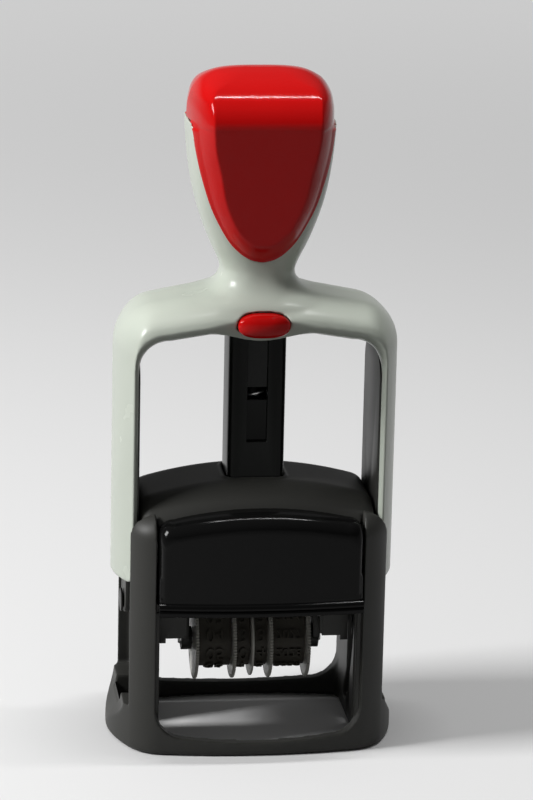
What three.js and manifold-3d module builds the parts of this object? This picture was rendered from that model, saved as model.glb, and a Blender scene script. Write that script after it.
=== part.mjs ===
// A self-inking date stamp: a foot frame with a roof and a guide column, a handle that slides on the column,
// an ink drawer, and a die that turns over on its way from the ink pad to the paper.
// Millimetres, +X to the right, the front faces -Y, +Z up. The origin is the middle of the foot's underside.
import * as THREE from "three";
import { mergeVertices } from "three/addons/utils/BufferGeometryUtils.js";
import Module from "manifold-3d";

const wasm = await Module();
wasm.setup();

// Fits
const seatGap = 0.3; // between pieces that rest on each other or hold each other
const slideGap = 0.5; // between pieces that slide past each other
const cutOverrun = 3; // how far a cutter runs past the face that it cuts

// Date wheels and bands, counted from the middle outwards
const separatorThickness = 0.6;
const wheelSideGap = 0.35; // beside each band
const wheelRimThickness = 1;
const narrowWheelWidth = 4.75;
const wideWheelWidth = 9.9;
const narrowBandStart = separatorThickness / 2 + wheelSideGap;
const narrowWheelEnd = narrowBandStart + narrowWheelWidth;
const narrowBandEnd = narrowWheelEnd - wheelRimThickness - wheelSideGap;
const wideBandStart = narrowWheelEnd + wheelSideGap;
const wideWheelEnd = wideBandStart + wideWheelWidth;
const wideBandEnd = wideWheelEnd - wheelRimThickness - wheelSideGap;
const wheelRadius = 11.2;
const wheelRimDepth = 4.3; // from the edge of the rim in to the drum
const wheelDrumRadius = wheelRadius - wheelRimDepth;
const wheelTeeth = 60;
const wheelToothDepth = 0.4;
// place along the pitch of a tooth, and how deep the rim is cut there
const wheelToothShares = [
  [0, 0],
  [0.5, 0],
  [0.62, 1],
  [0.88, 1],
];
const separatorInset = 0.6; // how much smaller the plain disc in the middle is
const separatorRadius = wheelRadius - separatorInset;
const bandThickness = 1.2;

// Text plate and die: the block that carries the plate and the bands, drawn as it hangs at rest, printing side up
const plateHalfWidth = 23;
const plateHalfDepth = 12;
const plateThickness = 2;
const plateCorner = 1;
const plateWindowMargin = 0.7; // from the outer bands to the end of the plate's window
const plateWindowHalfWidth = wideBandEnd + plateWindowMargin;
const plateWindowHalfDepth = 4.5;
const dieEndMargin = 2.8; // how much the die is longer than its plate at each end
const dieSideMargin = 0.3;
const dieHalfWidth = plateHalfWidth + dieEndMargin;
const dieHalfDepth = plateHalfDepth + dieSideMargin;
const dieDeckThickness = 3.2;
const dieCheekThickness = 2;
const dieCheekInset = 2.9;
const dieCheekHalfDepth = dieHalfDepth - dieCheekInset;
const dieCheekDrop = 9.6; // how far the outer cheeks reach below the pivot
const dieEarHalfDepth = 3.6; // the ears round the pivot pins
const dieEarRise = 3.2;
const dieWebThickness = 1.6;
const dieWebDrop = 8.3; // how far the webs between the cheeks reach below the pivot
const dieWindowHalfWidth = wideWheelEnd + seatGap; // the opening in the deck that the bands go through
const dieWindowHalfDepth = 6.9;
const axleRadius = 1.6;
const axleBossRadius = 3.2;
const axleBossLength = 1.05;
const axleBearingX = wideWheelEnd + seatGap + axleBossLength; // inner face of the cheek that holds the band axle
const axleBearingThickness = 1.8;
const axleBearingHalfDepth = 5;
const axleBearingBelow = 3; // how far the bearing cheek reaches below the axle
const axleEnd = 0.8; // how far the axle stands out of its bearings
const axleHalfLength = axleBearingX + axleBearingThickness + axleEnd;
const wheelBelowPin = 0.2; // from the pivot down to the wheels' tops
const axleBelowPin = wheelRadius + wheelBelowPin;
const bandBridgeSeat = 1.9;
const bandBridgeHalfDepth = bandBridgeSeat + seatGap;
const bandBridgeEnd = 0.95; // how far the bridge reaches into the deck at each end
const bandBridgeHalfLength = dieWindowHalfWidth + bandBridgeEnd;
const bandBridgeHeight = 2.4;
const followerRadius = 1.3;
const followerArm = 6; // from the pivot to the follower stub that runs in the cam groove
const camGrooveDepth = 1.4;
const camSteps = 20;

// Travel of the handle, and the heights of the die, counted from the paper
const pressTravel = 32;
const printRise = 4; // from the pivot up to the printing face
const paperGap = 0.3; // left under the printing face when the handle is right down
const inkGap = 0.5; // between the printing face and the ink pad at rest
const printRest = printRise + pressTravel + printRise + paperGap; // height of the printing face at rest
const pinZ = printRest - printRise;
const axleZ = pinZ - axleBelowPin;
const inkZ = printRest + inkGap;
const deckTop = printRest - plateThickness - seatGap;
const deckBottom = deckTop - dieDeckThickness;
const dieWebBottom = pinZ - dieWebDrop;
const bandInside = printRest - bandThickness;
const bridgeTop = bandInside - seatGap;
const bridgeBottom = bridgeTop - bandBridgeHeight;

// Widths of the housing and the handle, from the die outwards
const dieRunGap = 1.9; // between the die and the side walls
const windowHalfWidth = dieHalfWidth + dieRunGap; // the windows, and the room between the side walls
const sideWallThickness = 3.2;
const wallOutside = windowHalfWidth + sideWallThickness;
const roofOverWall = 0.4;
const roofHalfWidth = wallOutside + roofOverWall;
const legRunGap = 0.9;
const legInside = roofHalfWidth + legRunGap;
const legThickness = 6;
const legHalfWidth = legInside + legThickness; // outside of a leg at its middle
const footOverLeg = 0.9;
const footHalfWidth = legHalfWidth + footOverLeg;

// Depths of the ink pad, the housing and the handle, from the plate outwards
const padOverPlateX = 0.9;
const padOverPlateY = 1.6;
const padHalfWidth = plateHalfWidth + padOverPlateX;
const padHalfDepth = plateHalfDepth + padOverPlateY;
const trayBehindPad = 4.6;
const trayBack = padHalfDepth + trayBehindPad;
const roofOverTray = 0.4;
const roofHalfDepth = trayBack + roofOverTray;
const drawerPanelBack = roofHalfDepth + seatGap;
const footOverRoof = 7;
const footHalfDepth = drawerPanelBack + footOverRoof;
const yokeOverRoof = 0.6;
const yokeHalfDepth = roofHalfDepth + yokeOverRoof;
const yokeBow = 2.6; // how much the front of the handle is bowed
const yokeCornerY = yokeHalfDepth - yokeBow;
const legSideGap = 0.6;
const channelHalfDepth = yokeCornerY + legSideGap; // half the gap between a front post and a rear post

// Ink drawer
const drawerBulge = 2.9; // how far the panel stands out in front of the foot
const drawerFront = footHalfDepth + drawerBulge;
const drawerFrontCornerX = windowHalfWidth - seatGap;
const drawerFrontBow = 1.9;
const trayBottom = inkZ + seatGap;
const trayHeight = 8.9;
const trayTop = trayBottom + trayHeight;
const trayBehindFront = 3.8;
const trayFront = drawerFront - trayBehindFront;
const trayHalfWidth = windowHalfWidth - slideGap;
const trayWall = 1.4;
const trayFloor = 0.9;
const drawerPanelRise = 1.1; // from the tray's underside up to the panel's lower edge
const drawerPanelBottom = trayBottom + drawerPanelRise;
const drawerPanelRound = 5;
const drawerLipDrop = 2.4;
const drawerLipBottom = drawerPanelBottom - drawerLipDrop;
const drawerLipInset = 1.6;
const drawerCornerRound = 4;
const drawerPanelWall = 2.4;
const panelSteps = 8;
const padShoulder = 1.5;
const padRise = 4;
const railHeight = 1.6;
const railReach = 1.3;

// Foot frame
const footCornerInset = 7.7; // from the end in to where the bowed front and the bowed end would meet
const footCornerX = footHalfWidth - footCornerInset;
const footBow = 3.2;
const footCornerY = footHalfDepth - footBow;
const footCornerCut = 4.6;
const windowSill = 4.6;
const windowCorner = 8;
const footBarThickness = 3.4;
const housingHeight = 20; // from the drawer panel's lower edge up to the top of the side walls
const sideWallTop = drawerPanelBottom + housingHeight;
const postRise = 4.8;
const postTop = sideWallTop + postRise;
const postTopRound = 7.5;
const postEaseX = 2.5; // how far the round of a post's top starts inside the foot's end
const flareTop = 12;
const flareBottom = 3.4;
const flareInset = 2.1;
const screwFromWall = 2.7; // where the roof's screws stand
const screwFromEdge = 4.6;
const screwX = windowHalfWidth - screwFromWall;
const screwY = roofHalfDepth - screwFromEdge;
const shelfHalfSize = 2.6;
const shelfThickness = 3.2;

// Roof over the drawer
const roofRise = 12.8; // from the top of the side walls up to the crown
const roofFallX = 4.8; // from the crown down to the roof's ends beside the legs
const roofFallY = 7.1; // from the crown down to the front and rear edges
const roofBottom = sideWallTop + seatGap;
const roofCrown = sideWallTop + roofRise;
const roofEdgeY = roofCrown - roofFallY;
const roofWall = 2.2;
const roofEdgeRound = 3;
const roofRimShare = 0.6; // how much of the rim's round is taken off the edge
const roofSpreadShares = [-1, -0.96, -0.88, -0.7, -0.4, 0, 0.4, 0.7, 0.88, 0.96, 1];
const panelUnderRoof = 0.3; // how much lower the drawer panel's top is than the roof's edge
const drawerPanelTop = roofEdgeY - panelUnderRoof;
const screwBossRadius = 2.6;
const screwHoleSkin = 2.5; // from the end of a screw hole up to the roof's edge
const screwHoleTop = roofEdgeY - screwHoleSkin;
const coverScrewRadius = 1.3;
const coverScrewHeadRadius = 2.4;
const coverScrewHeadThickness = 1.4;

// Guide column, and the screws that hold its flange under the roof
const columnHalfWidth = 7.7;
const columnHalfDepth = 7.5;
const columnCorner = 2.6;
const columnBore = 4.6;
const columnFlangeReach = 4.8;
const columnFlange = columnHalfWidth + columnFlangeReach;
const columnFlangeThickness = 2.4;
const columnFlangeDrop = 7.2; // from the roof's shell down to the flange's underside
const columnFoot = roofCrown - roofWall - columnFlangeDrop;
const columnFloor = columnFoot + columnFlangeThickness;
const flangeScrewOut = 2.5; // from the column's side out to the screw
const flangeScrewX = columnHalfWidth + flangeScrewOut;
const flangeScrewRadius = 0.9;
const flangeScrewHeadRadius = 1.7;
const flangeScrewHeadThickness = 1.2;
const flangeBossRadius = 1.9;
const flangeScrewSkin = 4;
const flangeScrewTop = roofCrown - flangeScrewSkin;
const columnNotchHeight = 3.4;

// Handle: crossbar and legs
const gripClearance = 7.3; // left between the crossbar and the roof when the handle is right down
const archTop = roofCrown + pressTravel + gripClearance;
const archCorner = 8;
const archCornerDrop = 1.9; // from the arch's top down to where its corner begins
const archWaveX = 13.8; // where the arch is highest
const archSteps = 6;
const archMiddleDrop = 2.2; // how far the boss of the lock button hangs below the arch
const archChamfer = 2.6;
const archChamferDepth = 3.2;
const archEyeShare = 2; // how much taller the chamfer gets round the lock button, as a share of it
const crossbarHeight = 9.1;
const shoulderTop = archTop + crossbarHeight;
const shoulderFall = 2.4;
const shoulderEdge = shoulderTop - shoulderFall; // height where the shoulder starts to turn down into the leg
const shoulderRound = 12.5;
const shoulderTurn = 1.43; // how far the shoulder turns, radians
const shoulderTopX = 12; // where the shoulder reaches its top
const yokeCornerInset = 5.8;
const yokeCornerX = legHalfWidth - yokeCornerInset;
const yokeCornerCut = 3.6;
const yokeEdge = 2.4; // how much the crossbar's front edges are rounded off
// depth as a share of the half depth, and how much of the edge is taken off there
const yokeEdgeShares = [
  [1, 1],
  [0.955, 0.3],
  [0.85, 0],
];
const legFootGap = 1.4; // left under the legs when the handle is right down
const legBottom = flareTop + pressTravel + legFootGap;
const legBottomRound = 5;

// Handle: neck
const neckSink = 4.4; // how far the neck starts below the shoulder's top
const neckFoot = shoulderTop - neckSink;
const neckHeight = 51.5;
const neckTop = neckFoot + neckHeight;
const neckHalfWidth = 20;
const neckBehindYoke = 1.4;
const neckHalfDepth = yokeHalfDepth - neckBehindYoke;
const neckWallX = 1.55; // left round the column at the neck's waist
const neckWallY = 3.2;
const neckWaistX = columnHalfWidth + slideGap + neckWallX;
const neckWaistY = columnHalfDepth + slideGap + neckWallY;
const neckRoof = 5.9; // from the column's room up to the neck's top
const neckCavityTop = neckTop - neckRoof;
const neckSides = 28;
// height from the foot to the top, half width and half depth from the waist to the full size, and how
// square the ring is
const neckShares = [
  [0, 1.195, 0.879, 2.6],
  [0.039, 1.195, 0.879, 2.6],
  [0.07, 0.805, 0.666, 2.6],
  [0.093, 0.415, 0.393, 2.6],
  [0.126, 0.161, 0.167, 2.6],
  [0.184, 0, 0, 2.6],
  [0.252, 0.112, 0.061, 2.6],
  [0.33, 0.307, 0.213, 2.7],
  [0.427, 0.512, 0.393, 2.8],
  [0.544, 0.707, 0.606, 3],
  [0.66, 0.844, 0.757, 3.1],
  [0.796, 0.941, 0.908, 3.2],
  [0.913, 0.99, 0.984, 3.3],
  [1, 1, 1, 3.4],
];

// Red cap
const capWall = 2;
const capProud = 0.2; // how far the cap stands out over the neck
const capCrownRise = 12.5;
const capCrown = neckTop + capCrownRise;
const capRimDrop = 1.1;
const capRim = neckTop - capRimDrop; // lower edge of the cap at the sides
const capTipRise = 15.2;
const capTip = neckFoot + capTipRise; // lower end of the shield
const capFromShare = 0.25; // share of the neck's height above which the cap and the core under it are drawn
const capToShare = 0.95; // share of the neck's height where the crown takes over
const faceProud = 1.6;
const faceFrontHigh = neckHalfDepth + faceProud; // how far forward the flap's flat face is at its top
const faceLean = 4.6;
const faceFrontLow = faceFrontHigh - faceLean; // and at its tip
const flapEdgeShares = [0, 0.4, 0.7, 1];
// height from the cap's rim to the crown's top, half width as a share of the neck's, half depth as a share
// of the flat face's, and how square the ring is
const crownShares = [
  [0, 1, 0.993, 4.4],
  [0.118, 1, 0.989, 4.4],
  [0.265, 0.992, 0.957, 4.2],
  [0.412, 0.97, 0.9, 4],
  [0.559, 0.925, 0.808, 3.8],
  [0.706, 0.835, 0.665, 3.5],
  [0.816, 0.72, 0.51, 3.3],
  [0.926, 0.51, 0.285, 3.1],
  [1, 0.22, 0.17, 3],
];
const shieldInset = 1.1;
const shieldHalfWidth = neckHalfWidth - shieldInset;
// height from the tip to the rim and half width of the shield, then the same for its flat face
const shieldShares = [
  [0.023, 0.18, 0.15, 0.127],
  [0.08, 0.344, 0.188, 0.243],
  [0.165, 0.492, 0.25, 0.365],
  [0.307, 0.651, 0.364, 0.481],
  [0.449, 0.772, 0.494, 0.571],
  [0.648, 0.889, 0.665, 0.635],
  [0.818, 0.963, 0.824, 0.698],
  [1, 1, 1.005, 0.725],
];

// Lock button
const buttonHalfWidth = 6.9;
const buttonHalfHeight = 3.2;
const buttonRise = 2.9;
const buttonZ = archTop + buttonRise;
const buttonProud = 1.8;
const buttonFront = yokeHalfDepth + buttonProud;
const buttonTravel = 2; // the stem then stands clear of the column's notch
const buttonHeadLength = 4.6;
const buttonBack = buttonFront - buttonHeadLength;
const buttonStemWidth = 4.4;
const buttonStemHeight = 2.4;
const buttonStemEnd = columnHalfDepth + slideGap;
const buttonFloorWall = 2.6;
const buttonPocketFloor = columnHalfDepth + slideGap + buttonFloorWall;
const buttonSpringWire = 0.5;
const buttonSpringCurls = 4;
const buttonSpringInset = 0.15;
const buttonSpringRadius = buttonHalfHeight - buttonSpringInset;
const columnNotchDrop = 21.8; // from the button's stem at rest down to the notch that holds the handle low
const columnNotchZ = buttonZ - columnNotchDrop;
const columnGrooveWidth = buttonStemWidth + slideGap + slideGap;
const columnGrooveDepth = buttonTravel; // the stem starts one slide gap away from the column

// Press arms and pivot pins
const armInside = legInside + seatGap;
const armThickness = 2.1;
const armOutside = armInside + armThickness;
const armHalfDepth = 6.5;
const armBelowArch = 8.3;
const armTop = archTop - armBelowArch;
const linerProud = 0.3; // how far an arm's thin liner stands in from the leg
const linerThickness = 1.2;
const linerInside = legInside - linerProud;
const linerOutside = linerInside + linerThickness;
const linerInset = 3.3; // how far the liner stays behind the leg's corner
const linerHalfDepth = yokeCornerY - linerInset;
const linerBelowArch = 7.3;
const linerTop = archTop - linerBelowArch;
const linerBottom = legBottom + legBottomRound;
const linerCorner = 6;
const pinRadius = 1.9;
const pinHeadRadius = 3.2;
const pinHeadThickness = 0.6;
const pinReach = 2.6; // how far a pin reaches into the die
const pinInnerEnd = dieHalfWidth - pinReach;
const pocketOutside = armOutside + seatGap + pinHeadThickness + slideGap;
const followerReach = windowHalfWidth + camGrooveDepth - seatGap;
const armBelowPin = 3;
const armEndRound = 4.5; // height of the round at the arm's lower end
const armScrewDrop = 48; // from the arm's top down to its screw, behind the housing
const armScrewZ = armTop - armScrewDrop;
const armScrewRadius = 1.3;
const armScrewHeadRadius = 2.3;
const armScrewHeadThickness = 0.8;
const armScrewSkin = 1.6; // left outside the end of the arm's screw
const armScrewEnd = legHalfWidth - armScrewSkin;

// Return spring and plunger
const plungerFlangeRadius = 7;
const plungerFlangeThickness = 2;
const plungerEndGap = 1.3; // left over the column when the handle is right down
const columnTop = neckCavityTop - seatGap - plungerFlangeThickness - pressTravel - plungerEndGap;
const plungerReach = 5;
const plungerTip = columnTop - plungerReach;
const plungerRadius = columnBore - slideGap;
const plungerScrewRadius = 1.6;
const plungerScrewHeadRadius = 3;
const plungerScrewHeadThickness = 1.6;
const plungerScrewLength = 14;
const springWire = 0.9;
const springRadius = columnBore - springWire - seatGap;
const springCurls = 12;
const springSteps = 8;
const springSides = 5;

// Materials
const shellGrey = material(0xccd3c6, 0.28);
const gripRed = material(0xc41414, 0.22);
const glossBlack = material(0x0d0d0e, 0.18);
const satinBlack = material(0x2b2b29, 0.55);
const wheelGrey = material(0xb5b2aa, 0.5);
const rubberGrey = material(0x4c4a42, 0.8);
const padInk = material(0x16161d, 0.95);
const steel = material(0xb4b6b8, 0.35, 1);

function material(color, roughness, metalness = 0) {
  return new THREE.MeshStandardMaterial({ color, roughness, metalness });
}

// A closed geometry as a solid that can be joined and cut.
function solid(geometry) {
  const bare = geometry.clone();
  bare.deleteAttribute("normal");
  bare.deleteAttribute("uv");
  const merged = mergeVertices(bare);
  const vertProperties = new Float32Array(merged.attributes.position.array);
  const triVerts = new Uint32Array(merged.index.array);
  return new wasm.Manifold(new wasm.Mesh({ numProp: 3, vertProperties, triVerts }));
}

// A solid as a geometry that a mesh can hold.
function geometryOf(made) {
  const { vertProperties, triVerts } = made.getMesh();
  const geometry = new THREE.BufferGeometry();
  geometry.setAttribute("position", new THREE.BufferAttribute(vertProperties, 3));
  geometry.setIndex(new THREE.BufferAttribute(triVerts, 1));
  geometry.computeVertexNormals();
  return geometry;
}

// How a flat outline is stood up: the directions that its own x, y and depth take.
const along = {
  x: new THREE.Matrix4().makeBasis(
    new THREE.Vector3(0, 1, 0),
    new THREE.Vector3(0, 0, 1),
    new THREE.Vector3(1, 0, 0),
  ),
  y: new THREE.Matrix4().makeBasis(
    new THREE.Vector3(1, 0, 0),
    new THREE.Vector3(0, 0, 1),
    new THREE.Vector3(0, -1, 0),
  ),
  z: new THREE.Matrix4(),
};

// A prism from low to high along an axis. The outline's own two directions are
// Y and Z for a prism along x, X and Z along y, and X and Y along z.
function prism(outline, low, high, axis = "z", holes = []) {
  const shape = new THREE.Shape(outline);
  shape.holes = holes.map((points) => new THREE.Path(points));
  const geometry = new THREE.ExtrudeGeometry(shape, { depth: high - low, bevelEnabled: false });
  // a prism along y is drawn from its far face towards the front
  geometry.translate(0, 0, axis === "y" ? -high : low);
  geometry.applyMatrix4(along[axis]);
  return solid(geometry);
}

// A box between two corners.
function box(x0, x1, y0, y1, z0, z1) {
  const geometry = new THREE.BoxGeometry(x1 - x0, y1 - y0, z1 - z0);
  geometry.translate((x0 + x1) / 2, (y0 + y1) / 2, (z0 + z1) / 2);
  return solid(geometry);
}

// A round rod from low to high along an axis, through a point given by its two other coordinates.
function rod(radius, low, high, axis, u, v, sides = 20) {
  const outline = circle(radius, sides).map((p) => new THREE.Vector2(p.x + u, p.y + v));
  return prism(outline, low, high, axis);
}

function circle(radius, sides) {
  return Array.from({ length: sides }, (_, i) => {
    const turn = (2 * Math.PI * i) / sides;
    return new THREE.Vector2(radius * Math.cos(turn), radius * Math.sin(turn));
  });
}

// Copies the points of one quarter of an outline, from the first axis to the second, into all four quarters.
function fourQuarters(quarter) {
  const points = [];
  const signs = [
    [1, 1],
    [-1, 1],
    [-1, -1],
    [1, -1],
  ];
  signs.forEach(([sx, sy], k) => {
    const run = k % 2 ? [...quarter].reverse() : quarter;
    for (const p of run) {
      const next = new THREE.Vector2(sx * p.x, sy * p.y);
      if (!points.some((q) => q.distanceTo(next) < 1e-6 * quarter[0].length())) points.push(next);
    }
  });
  return points;
}

// A plan outline with bowed front, back and ends. Where they would meet, the corner is cut by a curve.
function barrel(halfWidth, halfDepth, cornerX, cornerY, cut, steps = 4) {
  const end = (y) => halfWidth - (halfWidth - cornerX) * (y / cornerY) ** 2;
  const front = (x) => halfDepth - (halfDepth - cornerY) * (x / cornerX) ** 2;
  const quarter = [];
  const endLimit = cornerY - cut;
  const frontLimit = cornerX - cut;
  for (let i = 0; i < steps; i++) {
    const y = (endLimit * i) / steps;
    quarter.push(new THREE.Vector2(end(y), y));
  }
  const corner = new THREE.QuadraticBezierCurve(
    new THREE.Vector2(end(endLimit), endLimit),
    new THREE.Vector2(cornerX, cornerY),
    new THREE.Vector2(frontLimit, front(frontLimit)),
  );
  quarter.push(...corner.getPoints(steps));
  for (let i = steps - 1; i >= 0; i--) {
    const x = (frontLimit * i) / steps;
    quarter.push(new THREE.Vector2(x, front(x)));
  }
  return fourQuarters(quarter);
}

// A rectangle with round corners about the middle.
function roundedRectangle(halfWidth, halfDepth, corner, steps = 4) {
  const quarter = [];
  for (let i = 0; i <= steps; i++) {
    const turn = (Math.PI / 2) * (i / steps);
    const x = halfWidth - corner + corner * Math.cos(turn);
    quarter.push(new THREE.Vector2(x, halfDepth - corner + corner * Math.sin(turn)));
  }
  return fourQuarters(quarter);
}

// The points of an arc, for an outline.
function arc(centreX, centreY, radius, from, to, steps) {
  return Array.from({ length: steps + 1 }, (_, i) => {
    const turn = from + ((to - from) * i) / steps;
    return new THREE.Vector2(centreX + radius * Math.cos(turn), centreY + radius * Math.sin(turn));
  });
}

// A closed skin through rings of like count. Each end is closed flat.
function loft(rings, flatten) {
  const count = rings[0].length;
  const positions = rings.flat().flatMap((p) => [p.x, p.y, p.z]);
  const index = [];
  for (let r = 0; r + 1 < rings.length; r++) {
    for (let i = 0; i < count; i++) {
      const a = r * count + i;
      const b = r * count + ((i + 1) % count);
      index.push(a, b, b + count, a, b + count, a + count);
    }
  }
  const last = (rings.length - 1) * count;
  for (const [a, b, c] of THREE.ShapeUtils.triangulateShape(rings[0].map(flatten), [])) {
    index.push(c, b, a);
  }
  for (const [a, b, c] of THREE.ShapeUtils.triangulateShape(rings.at(-1).map(flatten), [])) {
    index.push(last + a, last + b, last + c);
  }
  const geometry = new THREE.BufferGeometry();
  geometry.setAttribute("position", new THREE.Float32BufferAttribute(positions, 3));
  geometry.setIndex(index);
  return solid(geometry);
}

const seenFromAbove = (p) => new THREE.Vector2(p.x, p.y);
const seenFromFront = (p) => new THREE.Vector2(p.x, p.z);

const group = new THREE.Group();

function add(name, made, finish) {
  const mesh = new THREE.Mesh(geometryOf(made), finish);
  mesh.name = name;
  group.add(mesh);
}

const sides = [
  { side: -1, name: "left" },
  { side: 1, name: "right" },
];

// A box given for the right-hand side, put on either side.
function sideBox(side, near, far, y0, y1, z0, z1) {
  return side > 0 ? box(near, far, y0, y1, z0, z1) : box(-far, -near, y0, y1, z0, z1);
}

// A rod along x given for the right-hand side, put on either side.
function sideRod(side, radius, near, far, y, z, count) {
  return side > 0 ? rod(radius, near, far, "x", y, z, count) : rod(radius, -far, -near, "x", y, z, count);
}

// Foot frame

// The front and rear windows go right through, and so does the room for the ink drawer above them.
function windowOutline() {
  const low = windowSill + windowCorner;
  const points = arc(windowHalfWidth - windowCorner, low, windowCorner, -Math.PI / 2, 0, 6);
  points.push(new THREE.Vector2(windowHalfWidth, postTop + cutOverrun));
  points.push(new THREE.Vector2(-windowHalfWidth, postTop + cutOverrun));
  points.push(...arc(-windowHalfWidth + windowCorner, low, windowCorner, Math.PI, 1.5 * Math.PI, 6));
  return points;
}

// Where the follower stub passes as the die turns over: it starts level with the pivot and in front of it.
function followerPath() {
  return Array.from({ length: camSteps + 1 }, (_, i) => {
    const turn = (Math.PI * i) / camSteps;
    const y = -followerArm * Math.cos(turn);
    return new THREE.Vector2(y, pinZ - (pressTravel * turn) / Math.PI - followerArm * Math.sin(turn));
  });
}

// The cam groove is a strip of even width round that path, with round ends.
function camGroove(side) {
  const path = followerPath();
  const reach = followerRadius + slideGap;
  const normals = path.map((p, i) => {
    const before = path[Math.max(i - 1, 0)];
    const after = path[Math.min(i + 1, path.length - 1)];
    const way = after.clone().sub(before).normalize();
    return new THREE.Vector2(-way.y, way.x).multiplyScalar(reach);
  });
  const one = path.map((p, i) => p.clone().add(normals[i]));
  const other = path.map((p, i) => p.clone().sub(normals[i])).reverse();
  const startTurn = normals[0].angle();
  const endTurn = normals.at(-1).angle();
  const first = arc(path[0].x, path[0].y, reach, startTurn - Math.PI, startTurn - 2 * Math.PI, 6).slice(1, -1);
  const last = arc(path.at(-1).x, path.at(-1).y, reach, endTurn, endTurn - Math.PI, 6).slice(1, -1);
  const outline = [...one, ...last, ...other, ...first];
  const low = windowHalfWidth - cutOverrun;
  const high = windowHalfWidth + camGrooveDepth;
  return side > 0 ? prism(outline, low, high, "x") : prism(outline, -high, -low, "x");
}

function footFrame() {
  const plan = barrel(footHalfWidth, footHalfDepth, footCornerX, footCornerY, footCornerCut);
  let made = prism(plan, 0, postTop);
  // the tops of the posts are rounded towards the sides and towards the front and back
  const postHalfWidth = footHalfWidth - postEaseX;
  const low = postTop - postTopRound;
  const sideView = [
    new THREE.Vector2(-footHalfDepth - cutOverrun, -cutOverrun),
    new THREE.Vector2(footHalfDepth + cutOverrun, -cutOverrun),
    ...arc(footHalfDepth - postTopRound, low, postTopRound, 0, Math.PI / 2, 6),
    ...arc(-footHalfDepth + postTopRound, low, postTopRound, Math.PI / 2, Math.PI, 6),
  ];
  sideView.splice(2, 0, new THREE.Vector2(footHalfDepth + cutOverrun, low));
  sideView.push(new THREE.Vector2(-footHalfDepth - cutOverrun, low));
  const frontView = [
    new THREE.Vector2(footHalfWidth + cutOverrun, -cutOverrun),
    new THREE.Vector2(footHalfWidth + cutOverrun, low),
    ...arc(postHalfWidth - postTopRound, low, postTopRound, 0, Math.PI / 2, 6),
    ...arc(-postHalfWidth + postTopRound, low, postTopRound, Math.PI / 2, Math.PI, 6),
    new THREE.Vector2(-footHalfWidth - cutOverrun, low),
    new THREE.Vector2(-footHalfWidth - cutOverrun, -cutOverrun),
  ];
  made = made.intersect(prism(sideView, -footHalfWidth, footHalfWidth, "x"));
  made = made.intersect(prism(frontView, -footHalfDepth, footHalfDepth, "y"));
  // windows, and the open underside that the print passes through
  made = made.subtract(prism(windowOutline(), -footHalfDepth - cutOverrun, footHalfDepth + cutOverrun, "y"));
  const paperRoom = roundedRectangle(windowHalfWidth, footHalfDepth - footBarThickness, footBarThickness);
  made = made.subtract(prism(paperRoom, -cutOverrun, windowSill + windowCorner));
  for (const { side } of sides) {
    // the channel between the posts that the leg runs in, and the flare of the foot below it
    const channel = channelHalfDepth;
    made = made.subtract(
      sideBox(side, wallOutside, footHalfWidth + cutOverrun, -channel, channel, flareTop, postTop + cutOverrun),
    );
    const flare = [
      new THREE.Vector2(footHalfWidth + cutOverrun, flareBottom),
      new THREE.Vector2(footHalfWidth, flareBottom),
      new THREE.Vector2(footHalfWidth - flareInset, flareTop),
      new THREE.Vector2(footHalfWidth - flareInset, flareTop + cutOverrun),
      new THREE.Vector2(footHalfWidth + cutOverrun, flareTop + cutOverrun),
    ].map((p) => new THREE.Vector2(side * p.x, p.y));
    made = made.subtract(prism(flare, -channel, channel, "y"));
    // the pocket that takes the lower end of the press arm, open below
    const pocket = armHalfDepth + slideGap;
    made = made.subtract(
      sideBox(side, wallOutside, pocketOutside, -pocket, pocket, -cutOverrun, flareTop + cutOverrun),
    );
    // the wall between the posts ends below the roof, and has the pivot pin's slot and the cam groove
    const near = windowHalfWidth - cutOverrun;
    const far = wallOutside + cutOverrun;
    made = made.subtract(sideBox(side, near, far, -channel, channel, sideWallTop, postTop + cutOverrun));
    const slot = pinRadius + slideGap;
    const slotLow = pinZ - pressTravel;
    const slotOutline = [
      ...arc(0, pinZ, slot, 0, Math.PI, 6),
      ...arc(0, slotLow, slot, Math.PI, 2 * Math.PI, 6),
    ];
    made = made.subtract(side > 0 ? prism(slotOutline, near, far, "x") : prism(slotOutline, -far, -near, "x"));
    made = made.subtract(camGroove(side));
    // rails that carry the tray of the ink drawer
    const railTop = trayBottom - seatGap;
    const railLow = railTop - railHeight;
    const intoWall = windowHalfWidth + seatGap;
    made = made.add(
      sideBox(side, windowHalfWidth - railReach, intoWall, -channel, channel, railLow, railTop),
    );
    // shelves inside the corners that the roof is screwed to
    const shelfLow = sideWallTop - shelfThickness;
    const bore = coverScrewRadius + seatGap;
    for (const end of [-1, 1]) {
      const y = [end * (screwY - shelfHalfSize), end * (screwY + shelfHalfSize)].sort((a, b) => a - b);
      made = made.add(sideBox(side, screwX - shelfHalfSize, intoWall, y[0], y[1], shelfLow, sideWallTop));
      made = made.subtract(
        rod(bore, shelfLow - cutOverrun, sideWallTop + cutOverrun, "z", side * screwX, end * screwY, 12),
      );
    }
  }
  return made;
}

add("base_frame", footFrame(), satinBlack);

// Roof

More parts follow.
